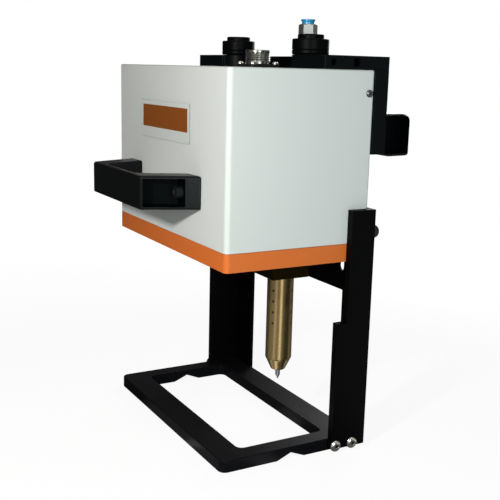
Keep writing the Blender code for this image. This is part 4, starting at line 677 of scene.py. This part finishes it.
def socketScrew(name, node, axis, side, finish, slot, head):
    # The profile's inner rows follow the hexagon; the socket's inside is black: its oxide and dirt,
    # and painted shade.
    low, high, centre = boxOf(node, axis)
    along = "XYZ".index(axis)
    height, radius, shank, depth = pick(head, "height radius shank depth")
    mouth, hexReach, domeStart, domeEnd = pick(headShape, "mouth hexReach domeStart domeEnd")
    tail, top = (low[along], high[along])[::side]
    seat = top - side * height
    socket = head["socket"] / 2
    floor = top - side * depth
    profile = [(0, tail, 0), (shank, tail, soft), (shank, seat, crisp), (radius, seat, keen)]
    if "flat" in head:
        angle = np.linspace(domeStart, domeEnd, headShape["domeRows"]) * math.pi / 2
        crown = math.sin(domeEnd * math.pi / 2)
        profile += [(head["flat"] + (radius - head["flat"]) * math.cos(a), seat + side * (
            height * (domeStart + (1 - domeStart) * math.sin(a) / crown)), fine) for a in angle]
    else:
        profile += [(radius, top, head["rim"])]
    profile += [(socket * mouth, top, fine), (socket, top - side * keen, fine),
                (socket, floor, fine), (0, floor - side * keen, 0)]
    hexLow, hexHigh = sorted((top + side * crisp, floor - side * eased))

    def shape(angle, rows, place):
        inside = (rows < socket * hexReach) & (place > hexLow) & (place < hexHigh)
        cut = rows * hexagon(head["socket"], angle) / (head["socket"] / 2)
        rows = np.where(inside, cut, rows)
        if "knurl" not in head:
            return rows
        ripple = 0.5 + 0.5 * np.cos(angle * head["knurl"])
        wall = (rows > radius * headShape["knurlReach"]) & (abs(place - seat) > eased) \
            & (abs(place - top) > blunt)
        return np.where(wall, rows - headShape["knurlDepth"] * ripple, rows)
    piece = turnedPiece(name, axis, centre, profile, 96, finish, slot, node, sharp=38,
                        shape=shape, arcSteps=2)
    middles = faceRows(piece, "center")
    reach = np.hypot(*(np.delete(middles, along, 1) - centre).T)
    sunk = side * (top - middles[:, along])
    # The socket's inside takes black oxide: its own oxide and dirt, with painted shade in the
    # hollow.
    secondFinish(piece, "blackOxide", (reach < socket * headShape["socketShadeReach"]) & (sunk > soft)
                 & (sunk < headShape["socketShadeDepth"]))


for word, side in (("left", -1), ("right", 1)):
    for place in ("front", "rear"):
        socketScrew(f"footScrew{word.title()}{place.title()}", f"foot_screw_{word}_{place}", "X",
                    side, "stainless", "bright_steel", footHead)
    socketScrew("coverScrew" + word.title(), "cover_screw_" + word, "X", side, "darkSteel",
                "dark_steel", coverHead)
    for place, out in (("front", -1), ("rear", 1)):
        socketScrew(f"{place}GripScrew{word.title()}", f"{place}_handle_screw_{word}", "Y", out,
                    "gripScrew", "dark_steel", gripHead)
print("screws done")

# Rear plate and the plate on top, whose two ears hold the buttons
plateEdges = dict(corner=0.0004, rim=0.0004, earInner=0.061, earCorner=0.0008, earSteps=33,
                  frontHole=0.0026, rearHole=0.0037, frontHoleY=0.0912, rearHoleY=0.1130,
                  holeDepth=0.009, drillPoint=0.6, barrel=0.0114, boss=0.0148, gap=0.0003)


def buildPlates():
    corner, rim, inner, boss, count = pick(plateEdges, "corner rim earInner boss earSteps")
    low, high, _ = boxOf("back_plate")
    beam = low[1]
    high += (0, 0, plateEdges["gap"])
    piece = newObject("backPlate", softBox(low, high, rim, corner, "Y"))
    finishPiece(piece, "blackAnodised", "black_anodised", "back_plate")
    low, high, _ = boxOf("top_plate")
    axisX, axisY = boxOf("button_housing_right")[2]
    turn = np.linspace(-1, 1, count) * math.acos((axisX - inner) / boss)
    arc = np.stack((axisX - boss * np.cos(turn), axisY + boss * np.sin(turn)), -1)
    ear = [corner, plateEdges["earCorner"]] + [0] * (count - 2) + [plateEdges["earCorner"], corner]
    corners = np.concatenate(([(low[0], low[1]), (-inner, low[1])], arc * (-1, 1),
                              [(-inner, beam), (inner, beam)], arc[::-1],
                              [(inner, low[1]), (high[0], low[1]), (high[0], high[1]),
                               (low[0], high[1])]))
    radii = [corner] + ear + ear[::-1] + [corner] * 3
    piece = slab("topPlate", "Z", corners, radii, low[2], high[2], (rim, rim), 3, 2)
    for side, word in ((-1, "left"), (1, "right")):
        centre = boxOf("button_housing_" + word)[2]
        carve(piece, rodShell("Z", centre, plateEdges["barrel"], low[2] - past, high[2] + past))
        start, stop = side * (high[0] - plateEdges["holeDepth"]), side * (high[0] + past)
        holes = []
        for key in ("front", "rear"):
            radius = plateEdges[key + "Hole"]
            point = start - side * radius * plateEdges["drillPoint"]
            holes.append(turnedShell(
                "X", (frontY + plateEdges[key + "HoleY"], (low[2] + high[2]) / 2),
                [(0, point), (radius, start), (radius, stop), (0, stop)], 40))
        carve(piece, *holes)
    finishPiece(piece, "blackAnodised", "black_anodised", "top_plate", edge=soft)


buildPlates()
print("plates done")

# Start buttons
buttonShape = dict(bezelHeight=0.0127, barrel=0.0111, bore=0.0109, boreDepth=0.0085, stem=0.0046,
                   skirt=0.0006, skirtHeight=0.0012, grooveHeight=0.0034, groove=0.0005,
                   topRound=0.0010, rimOuter=0.0016, rimInner=0.0012, rimDrop=0.0006,
                   capBase=0.0036, capRound=0.0011, dish=0.0006, dishEdge=0.0012,
                   dishRound=0.002, capInner=0.00905)


def buildButton(word):
    shape = buttonShape
    bore, stem, barrel, groove = pick(shape, "bore stem barrel groove")
    low, high, centre = boxOf("button_housing_" + word)
    radius = (high[0] - low[0]) / 2
    top = high[2]
    base = top - shape["bezelHeight"]
    floor = top - shape["boreDepth"]
    step = base + shape["grooveHeight"]
    drop = top - shape["rimDrop"]
    profile = [(stem, low[2], crisp), (barrel, low[2], eased), (barrel, base, crisp),
               (radius - shape["skirt"], base, soft),
               (radius, base + shape["skirtHeight"], eased), (radius, step, crisp),
               (radius - groove, step + groove, crisp), (radius, step + 2 * groove, crisp),
               (radius, top, shape["topRound"]), (bore + shape["rimOuter"], top, eased),
               (bore + shape["rimInner"], drop, soft), (bore + crisp, drop, soft),
               (bore + crisp, floor, keen), (stem, floor, keen)]
    turnedPiece("buttonBezel" + word.title(), "Z", centre, profile, 96, "buttonPlastic",
                "black_plastic", "button_housing_" + word, closed=True)
    low, high, _ = boxOf("start_button_" + word)
    inner, dish = pick(shape, "capInner dish")
    capBase = floor + shape["capBase"]
    profile = [(0, low[2], 0), (stem - crisp, low[2], soft), (stem - crisp, capBase, crisp),
               (bore, capBase, soft), (bore, high[2], shape["capRound"]),
               (inner, high[2], shape["dish"]),
               (inner - shape["dishEdge"], high[2] - dish, shape["dishRound"]),
               (0, high[2] - dish, 0)]
    turnedPiece("buttonCap" + word.title(), "Z", centre, profile, 96, "buttonPlastic",
                "black_plastic", "start_button_" + word, body="button_" + word)


for word in ("left", "right"):
    buildButton(word)
print("buttons done")

# Cable connector: dark flange with four screws, threaded shell, insert with pins
connectorShape = dict(flangeThick=0.0025, flangeCorner=0.0035, radius=0.011, cavity=0.0095,
                      cavityFloor=0.003, tail=0.010, bore=0.008, threadPitch=0.0016,
                      threadDepth=0.00045, threadStart=0.0016, threadStop=0.0014,
                      threadWall=0.0008, screwSpread=0.01125, screwHead=0.0026,
                      screwRise=0.0024, screwDimple=0.0007, domeEnd=1.35, domeRows=7,
                      domeFillet=0.00001, pin=0.0006, pinRise=0.0045, pinFoot=0.001,
                      pinRing=0.0052, pinCount=6)


def threadShape(pitch, depth, low, high, reach):
    # Radius cut by a helix: r - depth * triangle(h / pitch - a / 2 pi), faded at both ends.
    def shape(angle, radius, height):
        phase = (height / pitch - angle / (2 * math.pi)) % 1.0
        tooth = 1 - np.abs(2 * phase - 1)
        fade = np.clip((height - low) / pitch, 0, 1) * np.clip((high - height) / pitch, 0, 1)
        return np.where(radius > reach, radius - depth * tooth * fade, radius)
    return shape


def threadRows(radius, low, high, pitch, each=10):
    # Profile rows close enough to draw the thread.
    count = int((high - low) / pitch * each)
    return [(radius, low + (high - low) * i / count, 0) for i in range(count + 1)]


def buildConnector():
    shape = connectorShape
    radius, cavity, tail, bore, pitch = pick(shape, "radius cavity tail bore threadPitch")
    low, high, centre = boxOf("connector_shell")
    base = boxOf("top_plate")[0][2]
    top = base + shape["flangeThick"]
    floor = base + shape["cavityFloor"]
    half = (high[0] - low[0]) / 2
    flange = newObject("connectorFlange", softBox(
        (*(centre - half), base), (*(centre + half), top), soft, shape["flangeCorner"]))
    carve(flange, rodShell("Z", centre, tail + keen, base - past, top + past))
    finishPiece(flange, "flangeBlack", "nickel", edge=keen)
    start, stop = top + shape["threadStart"], high[2] - shape["threadStop"]
    profile = [(bore, low[2], crisp), (tail, low[2], soft), (tail, top, crisp),
               (radius, top, keen)] + threadRows(radius, start, stop, pitch) + [
                   (radius, high[2], blunt), (cavity, high[2], soft), (cavity, floor, crisp),
                   (bore, floor, crisp)]
    thread = threadShape(pitch, shape["threadDepth"], start, stop, cavity + shape["threadWall"])
    turnedPiece("connectorBarrel", "Z", centre, profile, 96, "darkNickel", "nickel",
                "connector_shell", closed=True, shape=thread, arcSteps=2)
    head, rise, spread = pick(shape, "screwHead screwRise screwSpread")
    dome = [(head * math.cos(a), top + eased + (rise - eased) * math.sin(a),
             shape["domeFillet"]) for a in np.linspace(0, shape["domeEnd"], shape["domeRows"])]
    profile = [(0, top - blunt, 0), (head, top - blunt, fine)] + dome + [
        (blunt, top + rise - keen, limits["least"]), (0, top + rise - shape["screwDimple"], 0)]
    places = [centre + (dx, dy) for dx in (-spread, spread) for dy in (-spread, spread)]
    heads = [turnedShell("Z", place, profile, 40, arcSteps=2) for place in places]
    finishPiece(newObject("connectorScrews", *heads), "stainless", "nickel")
    low, high, _ = boxOf("connector_insert")
    seat = floor + soft
    profile = [(0, low[2], 0), (bore - soft, low[2], soft), (bore - soft, seat, crisp),
               (cavity - soft, seat, keen), (cavity - soft, high[2], blunt), (0, high[2], 0)]
    turnedPiece("connectorInsert", "Z", centre, profile, 72, "blackPlastic", "black_plastic",
                "connector_insert")
    pin, foot, tip = shape["pin"], high[2] - shape["pinFoot"], high[2] + shape["pinRise"]
    profile = [(0, foot, 0), (pin, foot, fine), (pin, tip, eased), (0, tip, 0)]
    turns = 2 * math.pi * np.arange(shape["pinCount"]) / shape["pinCount"]
    places = [centre + (shape["pinRing"] * math.cos(turn), shape["pinRing"] * math.sin(turn))
              for turn in turns] + [centre]
    pins = [turnedShell("Z", place, profile, 20) for place in places]
    finishPiece(newObject("connectorPins", *pins), "nickelPlate", "nickel")


buildConnector()

# Air fitting
fittingShape = dict(baseFlat=0.017, baseHeight=0.006, baseRows=14, neck=0.0064, hexFlat=0.014,
                    hexLow=0.340, hexRows=24, stem=0.006, socket=0.0055, socketDepth=0.012,
                    bore=0.003, turn=math.pi / 6, chamfer=0.55, hexReach=0.98)
colletShape = dict(bore=0.004, stem=0.0053, stemTop=0.0021, rim=0.0061, rimLow=0.0013,
                   mouth=0.0047, mouthDepth=0.001)


def hexNut(flat, low, high):
    # Hexagon cut by a cone at both rims: r = min(flat / (2 cos a'), flat / 2 + distance from rim).
    def shape(angle, radius, height):
        rim = np.minimum(height - low, high - height)
        cone = flat / 2 + crisp + np.maximum(rim, 0) / fittingShape["chamfer"]
        inside = (radius > flat / 2 * fittingShape["hexReach"]) & (rim > -crisp)
        turned = hexagon(flat, angle + fittingShape["turn"])
        return np.where(inside, np.minimum(turned, cone), radius)
    return shape


def buildFitting():
    shape = fittingShape
    baseFlat, hexFlat, hexLow, neck = pick(shape, "baseFlat hexFlat hexLow neck")
    stem, socket, bore = pick(shape, "stem socket bore")
    low, high, centre = boxOf("air_fitting_body")
    base = boxOf("top_plate")[0][2]
    baseTop = base + shape["baseHeight"]
    top = high[2] - eased
    floor = high[2] - shape["socketDepth"]
    profile = [(bore, low[2], crisp), (stem, low[2], eased), (stem, base, crisp)]
    profile += [(baseFlat / 2, h, 0) for h in np.linspace(base, baseTop, shape["baseRows"])]
    profile += [(neck, baseTop, soft), (neck, hexLow, crisp)]
    profile += [(hexFlat / 2, h, 0) for h in np.linspace(hexLow, top, shape["hexRows"])]
    profile += [(neck, top, crisp), (neck, high[2], soft), (socket, high[2], keen),
                (socket, floor, keen), (bore, floor, keen)]
    lower = hexNut(baseFlat, base, baseTop)
    upper = hexNut(hexFlat, hexLow, top)

    def bothNuts(angle, radius, height):
        return np.where(height < baseTop + blunt, lower(angle, radius, height),
                        upper(angle, radius, height))
    turnedPiece("airFitting", "Z", centre, profile, 120, "nickelPlate", "nickel",
                "air_fitting_body", sharp=28, closed=True, shape=bothNuts, arcSteps=2)
    low, high, _ = boxOf("release_collet")
    bore, stem, rim, mouth = pick(colletShape, "bore stem rim mouth")
    top = high[2]
    stemTop, rimLow, mouthDepth = pick(colletShape, "stemTop rimLow mouthDepth")
    profile = [(bore, low[2], keen), (stem, low[2], keen), (stem, top - stemTop, keen),
               (rim, top - rimLow, soft), (rim, top, eased), (mouth, top, eased),
               (bore, top - mouthDepth, blunt)]
    turnedPiece("airCollet", "Z", centre, profile, 72, "bluePlastic", "blue_plastic",
                "release_collet", body="collet", closed=True)


buildFitting()
print("connector and fitting done")

# Stylus
stylusShape = dict(radius=0.0116, shoulder=0.067, joint=0.0664, jointRadius=0.0111, bore=0.0074,
                   boreTop=0.1445, air=0.002, ventRadius=0.0011, ventTop=0.1294,
                   ventPitch=0.00975, ventRows=4, ventAngle=28.0, ventReach=0.016, knee=0.0562,
                   kneeRadius=0.0064, kneeRound=0.0012, tip=0.0544, tipRadius=0.0030,
                   tipRound=0.0006, spigot=0.072, pin=0.0021, pinTip=0.046, pinPoint=0.004,
                   pistonLow=0.130, pistonHigh=0.144, clampRim=0.0006, clampCorner=0.0008,
                   clampRoof=0.0077)


def buildStylus():
    shape = stylusShape
    radius, joint, jointRadius, bore = pick(shape, "radius joint jointRadius bore")
    boreTop, air, pin, spigot, tip = pick(shape, "boreTop air pin spigot tip")
    low, high, centre = boxOf("stylus_body")
    profile = [(air, high[2], crisp), (radius, high[2], blunt), (radius, shape["shoulder"], soft),
               (jointRadius, joint, keen), (bore, joint, crisp), (bore, boreTop, keen),
               (air, boreTop, keen)]
    piece = newObject("stylusBarrel", turnedShell("Z", centre, profile, 128, closed=True))
    for turn in (shape["ventAngle"], shape["ventAngle"] + 90):
        angle = math.radians(turn)
        vents = []
        for row in range(shape["ventRows"]):
            grid, closing = rodShell("X", (0, shape["ventTop"] - row * shape["ventPitch"]),
                                     shape["ventRadius"], -shape["ventReach"],
                                     shape["ventReach"], 24)
            x = grid[..., 0] * math.cos(angle) - grid[..., 1] * math.sin(angle)
            y = grid[..., 0] * math.sin(angle) + grid[..., 1] * math.cos(angle)
            vents.append((np.stack((centre[0] + x, centre[1] + y, grid[..., 2]), -1), closing))
        carve(piece, *vents)
    carriage = "x_slide_carriage"
    finishPiece(piece, "oliveBrass", "brass", "stylus_body", body=carriage, sharp=30)
    top = joint - soft
    profile = [(pin + crisp, tip, crisp), (shape["tipRadius"], tip, shape["tipRound"]),
               (shape["kneeRadius"], shape["knee"], shape["kneeRound"]), (jointRadius, top, keen),
               (bore - soft, top, crisp), (bore - soft, spigot, keen), (pin + crisp, spigot, keen)]
    turnedPiece("stylusNose", "Z", centre, profile, 96, "oliveBrass", "brass", "stylus_nose",
                body=carriage, closed=True, arcSteps=5)
    point, below, above = pick(shape, "pinTip pistonLow pistonHigh")
    profile = [(0, point, 0), (soft, point + crisp, crisp), (pin, point + shape["pinPoint"], eased),
               (pin, below, crisp), (bore - crisp, below, keen), (bore - crisp, above, keen),
               (0, above, 0)]
    turnedPiece("markingPin", "Z", centre, profile, 48, "pinSteel", "bright_steel",
                "stylus_pin", body="pin")
    low, high, _ = boxOf("stylus_holder")
    piece = newObject("stylusClamp", softBox(low, high, shape["clampRim"], shape["clampCorner"]))
    carve(piece, rodShell("Z", centre, radius + soft, low[2] - past,
                          high[2] - shape["clampRoof"], 96))
    finishPiece(piece, "bronzeBlock", "dark_bronze", "stylus_holder", body=carriage, edge=soft)


buildStylus()
print("stylus done")

# Stand
standShape = dict(corner=0.0065, rim=0.0009, windowHalf=0.094, windowFront=0.024,
                  windowRear=0.107, windowCorner=0.006, notchY=0.065, notchHalf=0.0135,
                  notchDepth=0.0055, postLow=0.101, postHigh=0.111, postStep=0.1135,
                  legInner=0.079, beamLow=0.1305, slotInner=0.0715, slotOuter=0.0798,
                  slotLow=0.1475, slotHigh=0.176, slotCorner=0.0035, edge=0.0004)


def buildStand():
    shape = standShape
    half, front, rear, edge = pick(shape, "windowHalf windowFront windowRear edge")
    low, high, _ = boxOf("base_frame")
    piece = slab("footFrame", "Z", rectangle(low, high), shape["corner"], low[2], high[2],
                 (blunt, shape["rim"]), 4, 8)
    carve(piece, prismShell("Z", rectangle((-half, frontY + front), (half, frontY + rear)),
                            shape["windowCorner"], through(low[2], high[2]), 8))
    middle = frontY + shape["notchY"]
    depth = shape["notchDepth"]
    spread = shape["notchHalf"] * (depth + past) / depth
    notch = [(middle - spread, -past), (middle + spread, -past), (middle, depth)]
    carve(piece, prismShell("X", notch, eased, through(low[0], high[0]), 3))
    finishPiece(piece, "blackPaint", "black_anodised", "base_frame", edge=edge)
    step = shape["postStep"]
    lower, upper = frontY + shape["postLow"], frontY + shape["postHigh"]
    for word in ("left", "right"):
        low, high, _ = boxOf(word + "_post")
        corners = [(lower, low[2]), (high[1], low[2]), (high[1], high[2]), (upper, high[2]),
                   (upper, step), (lower, step)]
        piece = slab("post" + word.title(), "X", corners, eased, low[0], high[0], (edge, edge),
                     3, 3)
        finishPiece(piece, "postPaint", "black_anodised", word + "_post")
    low, high, _ = boxOf("stand_rear_frame")
    inner, beam = pick(shape, "legInner beamLow")
    corners = [(-high[0], low[2]), (-inner, low[2]), (-inner, beam), (inner, beam),
               (inner, low[2]), (high[0], low[2]), (high[0], high[2]), (-high[0], high[2])]
    piece = slab("rearFrame", "Y", corners, eased, low[1], high[1], (soft, soft), 2, 3)
    start, stop, below, above = pick(shape, "slotInner slotOuter slotLow slotHigh")
    carve(piece, *[prismShell("Y", rectangle((left, below), (right, above)), shape["slotCorner"],
                              through(low[1], high[1]), 8)
                   for left, right in ((-stop, -start), (start, stop))])
    finishPiece(piece, "postPaint", "black_anodised", "stand_rear_frame", edge=keen)


buildStand()

# Clamp knobs: domed heads with a fine knurl
knobShape = dict(radius=0.0056, stud=0.003, dome=0.0036, domeStart=0.12, domeEnd=1.45,
                 domeRows=9, knurl=28, knurlDepth=0.00025, knurlStart=0.0012, knurlEdge=0.001,
                 knurlRows=16, pitch=0.0011, threadDepth=0.0003, threadStart=0.0008,
                 threadStop=0.0006)


def buildKnob(word):
    shape = knobShape
    radius, stud, dome, pitch = pick(shape, "radius stud dome pitch")
    low, high, centre = boxOf("clamp_knob_" + word, "Y")
    seat = boxOf("stand_rear_frame")[1][1] + soft
    tail, top = low[1], high[1]
    start, stop = tail + shape["threadStart"], seat - shape["threadStop"]
    profile = [(0, tail, 0), (stud - blunt, tail, crisp)]
    profile += threadRows(stud, start, stop, pitch, 8) + [(radius - eased, seat, keen)]
    profile += [(radius, h, 0) for h in np.linspace(seat + shape["knurlStart"], top - dome,
                                                    shape["knurlRows"])]
    profile += [(radius * math.cos(a), top - dome * (1 - math.sin(a)), 0)
                for a in np.linspace(shape["domeStart"], shape["domeEnd"], shape["domeRows"])]
    profile += [(0, top, 0)]
    thread = threadShape(pitch, shape["threadDepth"], start, stop, stud - crisp)

    def surface(angle, rows, height):
        ripple = 0.5 + 0.5 * np.cos(angle * shape["knurl"])
        band = (height > seat + shape["knurlEdge"]) & (height < top - dome + keen)
        rows = np.where(band, rows - shape["knurlDepth"] * ripple, rows)
        return np.where(height < seat, thread(angle, rows, height), rows)
    turnedPiece("clampKnob" + word.title(), "Y", centre, profile, 112, "blackOxide",
                "dark_steel", "clamp_knob_" + word, body="knob_" + word, shape=surface, arcSteps=2)


for word in ("left", "right"):
    buildKnob(word)
print("stand done")

# Drive screws: a threaded bar between a collar and a plain journal
driveShape = dict(pitch=0.002, depth=0.0006, radius=0.004, journal=0.003, journalLength=0.008,
                  collar=0.007, bore=0.0026, boreDepth=0.0063)


def buildDrive(name, node, axis, body, way, collarLength):
    # The way is the direction from the collar to the journal.
    pitch, depth, radius, journal = pick(driveShape, "pitch depth radius journal")
    collar, bore = pick(driveShape, "collar bore")
    low, high, centre = boxOf(node, axis)
    along = "XYZ".index(axis)
    start, stop = (low[along], high[along])[::way]
    collarEnd = start + way * collarLength
    shoulder = stop - way * driveShape["journalLength"]
    shaftEnd = start + way * driveShape["boreDepth"]
    ends = sorted((collarEnd + way * keen, shoulder - way * keen))
    least, point = limits["least"], limits["point"]
    profile = [(bore, start, crisp), (collar, start, blunt), (collar, collarEnd, blunt),
               (radius, collarEnd, crisp)] + threadRows(radius, *ends, pitch, 8)[::way] + [
                   (journal, shoulder, crisp), (journal, stop, eased), (least, stop, point),
                   (least, shaftEnd, point), (bore, shaftEnd, crisp)]
    thread = threadShape(pitch, depth, *ends, radius - soft)

    def surface(angle, rows, height):
        return np.where(rows < radius + crisp, thread(angle, rows, height), rows)
    turnedPiece(name, axis, centre, profile, 48, "groundSteel", "bright_steel", node, body=body,
                sharp=30, closed=True, shape=surface, arcSteps=2)


buildDrive("crossScrew", "x_lead_screw", "X", "x_screw", 1, 0.011)
buildDrive("depthScrew", "y_lead_screw", "Y", "y_screw", -1, 0.005)
print("drives done")

# Floor, world, reflection tent, lamps and camera
# Near is the floor's dimmer glow close to the object, painted shade round it; far is its glow away
# from it.
floorShape = dict(size=8.0, paint=0.72, glow=0.82, near=1.10, far=1.222, fadeStart=0.3,
                  fadeLength=0.7)
tentShape = dict(radius=1.25, height=1.9, mat=0.0006, edge=0.02, strength=1.4, cloudScale=1.5,
                 cloudDetail=2.0, cloud=0.4, cloudLeast=0.8)
# Share of the turn counted from -X by way of -Y, and how bright the tent is from there on.
tentStops = ((0.0, 0.08), (0.02, 0.04), (0.14, 0.02), (0.17, 0.14), (0.24, 0.18),
             (0.324, 0.23), (0.333, 0.85), (0.345, 0.85), (0.353, 0.23), (0.436, 0.24),
             (0.447, 1.50), (0.464, 1.50), (0.475, 0.26), (0.498, 0.20), (0.508, 0.07),
             (0.574, 0.09), (0.582, 0.60), (0.65, 0.36), (0.68, 0.12), (1.0, 0.08))
white = (1.0, 1.0, 1.0, 1.0)
worldLevels = dict(ambient=0.07, seen=1.0)
lamps = dict(
    keyLamp=dict(azimuth=60, elevation=20, distance=0.50, size=0.045, power=2.48,
                 colour=(1.0, 0.985, 0.955)),
    sideLamp=dict(azimuth=9, elevation=6, distance=1.1, size=0.35, power=4.8,
                  colour=(0.84, 1.0, 1.0)),
    backLamp=dict(azimuth=232, elevation=14, distance=1.15, size=0.5, power=4.2,
                  colour=(1.0, 1.0, 1.0)))
lampTarget = (0.11, frontY, 0.22)
cameraShape = dict(turns=(60.60, -11.93, 1.45), place=(0.6708, -0.3709, 0.3170), lens=61.97,
                   sensor=36.0, clip=0.01)


def pathMask(tree):
    # One for rays that should see the plain background: camera, glossy and transmission.
    path = addNode(tree, "LightPath").outputs
    return calculate(tree, path["Is Camera Ray"], ("MAXIMUM", path["Is Glossy Ray"]),
                     ("MAXIMUM", path["Is Transmission Ray"]))


def mixInto(tree, kind, share, first, second):
    # An emptied tree's output takes a mix of two shaders.
    out = addNode(tree, "Output" + kind)
    mix = addNode(tree, "MixShader", share)
    tree.links.new(first.outputs[0], mix.inputs[1])
    tree.links.new(second.outputs[0], mix.inputs[2])
    tree.links.new(mix.outputs[0], out.inputs["Surface"])


def emptyTree(owner):
    owner.use_nodes = True
    owner.node_tree.nodes.clear()
    return owner.node_tree


def buildFloor():
    # The glow rises with the distance from the object: its dimmer level near the object is painted
    # shade that lets the shadow show there, and the paint keeps the shadow.
    glow, near, far, fadeStart, fadeLength = pick(floorShape, "glow near far fadeStart fadeLength")
    bpy.ops.mesh.primitive_plane_add(size=floorShape["size"], location=(0, 0, 0))
    floor = bpy.context.object
    floor.name = "studioFloor"
    material = bpy.data.materials.new("floorPaint")
    tree = emptyTree(material)
    plain = addNode(tree, "BsdfDiffuse", Color=(*[floorShape["paint"]] * 3, 1.0))
    reach = addNode(tree, "VectorMath", ownPlace(tree), settings={"operation": "LENGTH"})
    fade = calculate(tree, reach.outputs["Value"], ("SUBTRACT", fadeStart),
                     ("DIVIDE", fadeLength), clamp=True)
    level = calculate(tree, fade, ("MULTIPLY", far - near), ("ADD", near))
    shine = addNode(tree, "Emission", Color=white, Strength=level)
    mixInto(tree, "Material", calculate(tree, pathMask(tree), ("MULTIPLY", glow)), plain, shine)
    floor.data.materials.append(material)


def buildTent():
    # Grey cloth round the object, seen by reflections alone: a drum with a floor mat, brighter
    # on the camera's side: radius(t), height(t) along the profile, turned round Z.
    radius, height, mat, edge, strength = pick(tentShape, "radius height mat edge strength")
    grid, _ = turnedShell("Z", (0, 0), [(0.0, mat, 0), (radius, mat, edge), (radius, height, 0)],
                          96)
    tent = newObject("studioTent", (grid, "open"))
    material = bpy.data.materials.new("tentCloth")
    tree = emptyTree(material)
    place = addNode(tree, "SeparateXYZ", ownPlace(tree)).outputs
    share = calculate(tree, place["Y"], ("ARCTAN2", place["X"]), ("DIVIDE", 2 * math.pi),
                      ("ADD", 0.5))
    ramp = addNode(tree, "ValToRGB", share)
    stops = ramp.color_ramp.elements
    while len(stops) < len(tentStops):
        stops.new(0.5)
    for stop, (position, level) in zip(stops, tentStops):
        stop.position = position
        stop.color = (level, level, level, 1.0)
    scale, detail, cloud, least = pick(tentShape, "cloudScale cloudDetail cloud cloudLeast")
    level = calculate(tree, objectNoise(tree, scale, detail), ("MULTIPLY", cloud),
                      ("ADD", least), ("MULTIPLY", strength))
    glow = addNode(tree, "Emission", ramp.outputs["Color"], Strength=level)
    out = addNode(tree, "OutputMaterial")
    tree.links.new(glow.outputs[0], out.inputs["Surface"])
    tent.data.materials.append(material)
    for rays in ("camera", "diffuse", "shadow", "transmission", "volume_scatter"):
        setattr(tent, "visible_" + rays, False)


def buildWorld():
    world = bpy.data.worlds.new("studio")
    tree = emptyTree(world)
    ambient, seen = (addNode(tree, "Background", Color=white, Strength=level)
                     for level in worldLevels.values())
    mixInto(tree, "World", pathMask(tree), ambient, seen)
    bpy.context.scene.world = world


def addLamp(name, azimuth, elevation, distance, size, power, colour):
    # Azimuth is counted from +X toward -Y; the lamp looks at the casing's front right corner.
    angle = math.radians(azimuth)
    rise = math.radians(elevation)
    offset = Vector((math.cos(angle) * math.cos(rise), -math.sin(angle) * math.cos(rise),
                     math.sin(rise))) * distance
    lamp = bpy.data.objects.new(name, bpy.data.lights.new(name, "AREA"))
    lamp.data.size = size
    lamp.data.energy = power
    lamp.data.color = colour
    lamp.location = Vector(lampTarget) + offset
    lamp.rotation_euler = (-offset).to_track_quat("-Z", "Y").to_euler()
    bpy.context.scene.collection.objects.link(lamp)


def buildCamera():
    yaw, pitch, roll = (math.radians(turn) for turn in cameraShape["turns"])
    ahead = Vector((-math.sin(yaw) * math.cos(pitch), math.cos(yaw) * math.cos(pitch),
                    math.sin(pitch)))
    right = Vector((math.cos(yaw), math.sin(yaw), 0))
    upward = right.cross(ahead)
    across = right * math.cos(roll) + upward * math.sin(roll)
    raised = -right * math.sin(roll) + upward * math.cos(roll)
    camera = bpy.data.objects.new("camera", bpy.data.cameras.new("camera"))
    camera.matrix_world = Matrix([(across[i], raised[i], -ahead[i], cameraShape["place"][i])
                                  for i in range(3)] + [(0, 0, 0, 1)])
    camera.data.lens = cameraShape["lens"]
    camera.data.sensor_width = cameraShape["sensor"]
    camera.data.clip_start = cameraShape["clip"]
    bpy.context.scene.collection.objects.link(camera)
    bpy.context.scene.camera = camera


buildFloor()
buildTent()
buildWorld()
for name, lamp in lamps.items():
    addLamp(name, **lamp)
buildCamera()
bpy.context.scene.view_settings.view_transform = "Standard"
print("stage set")
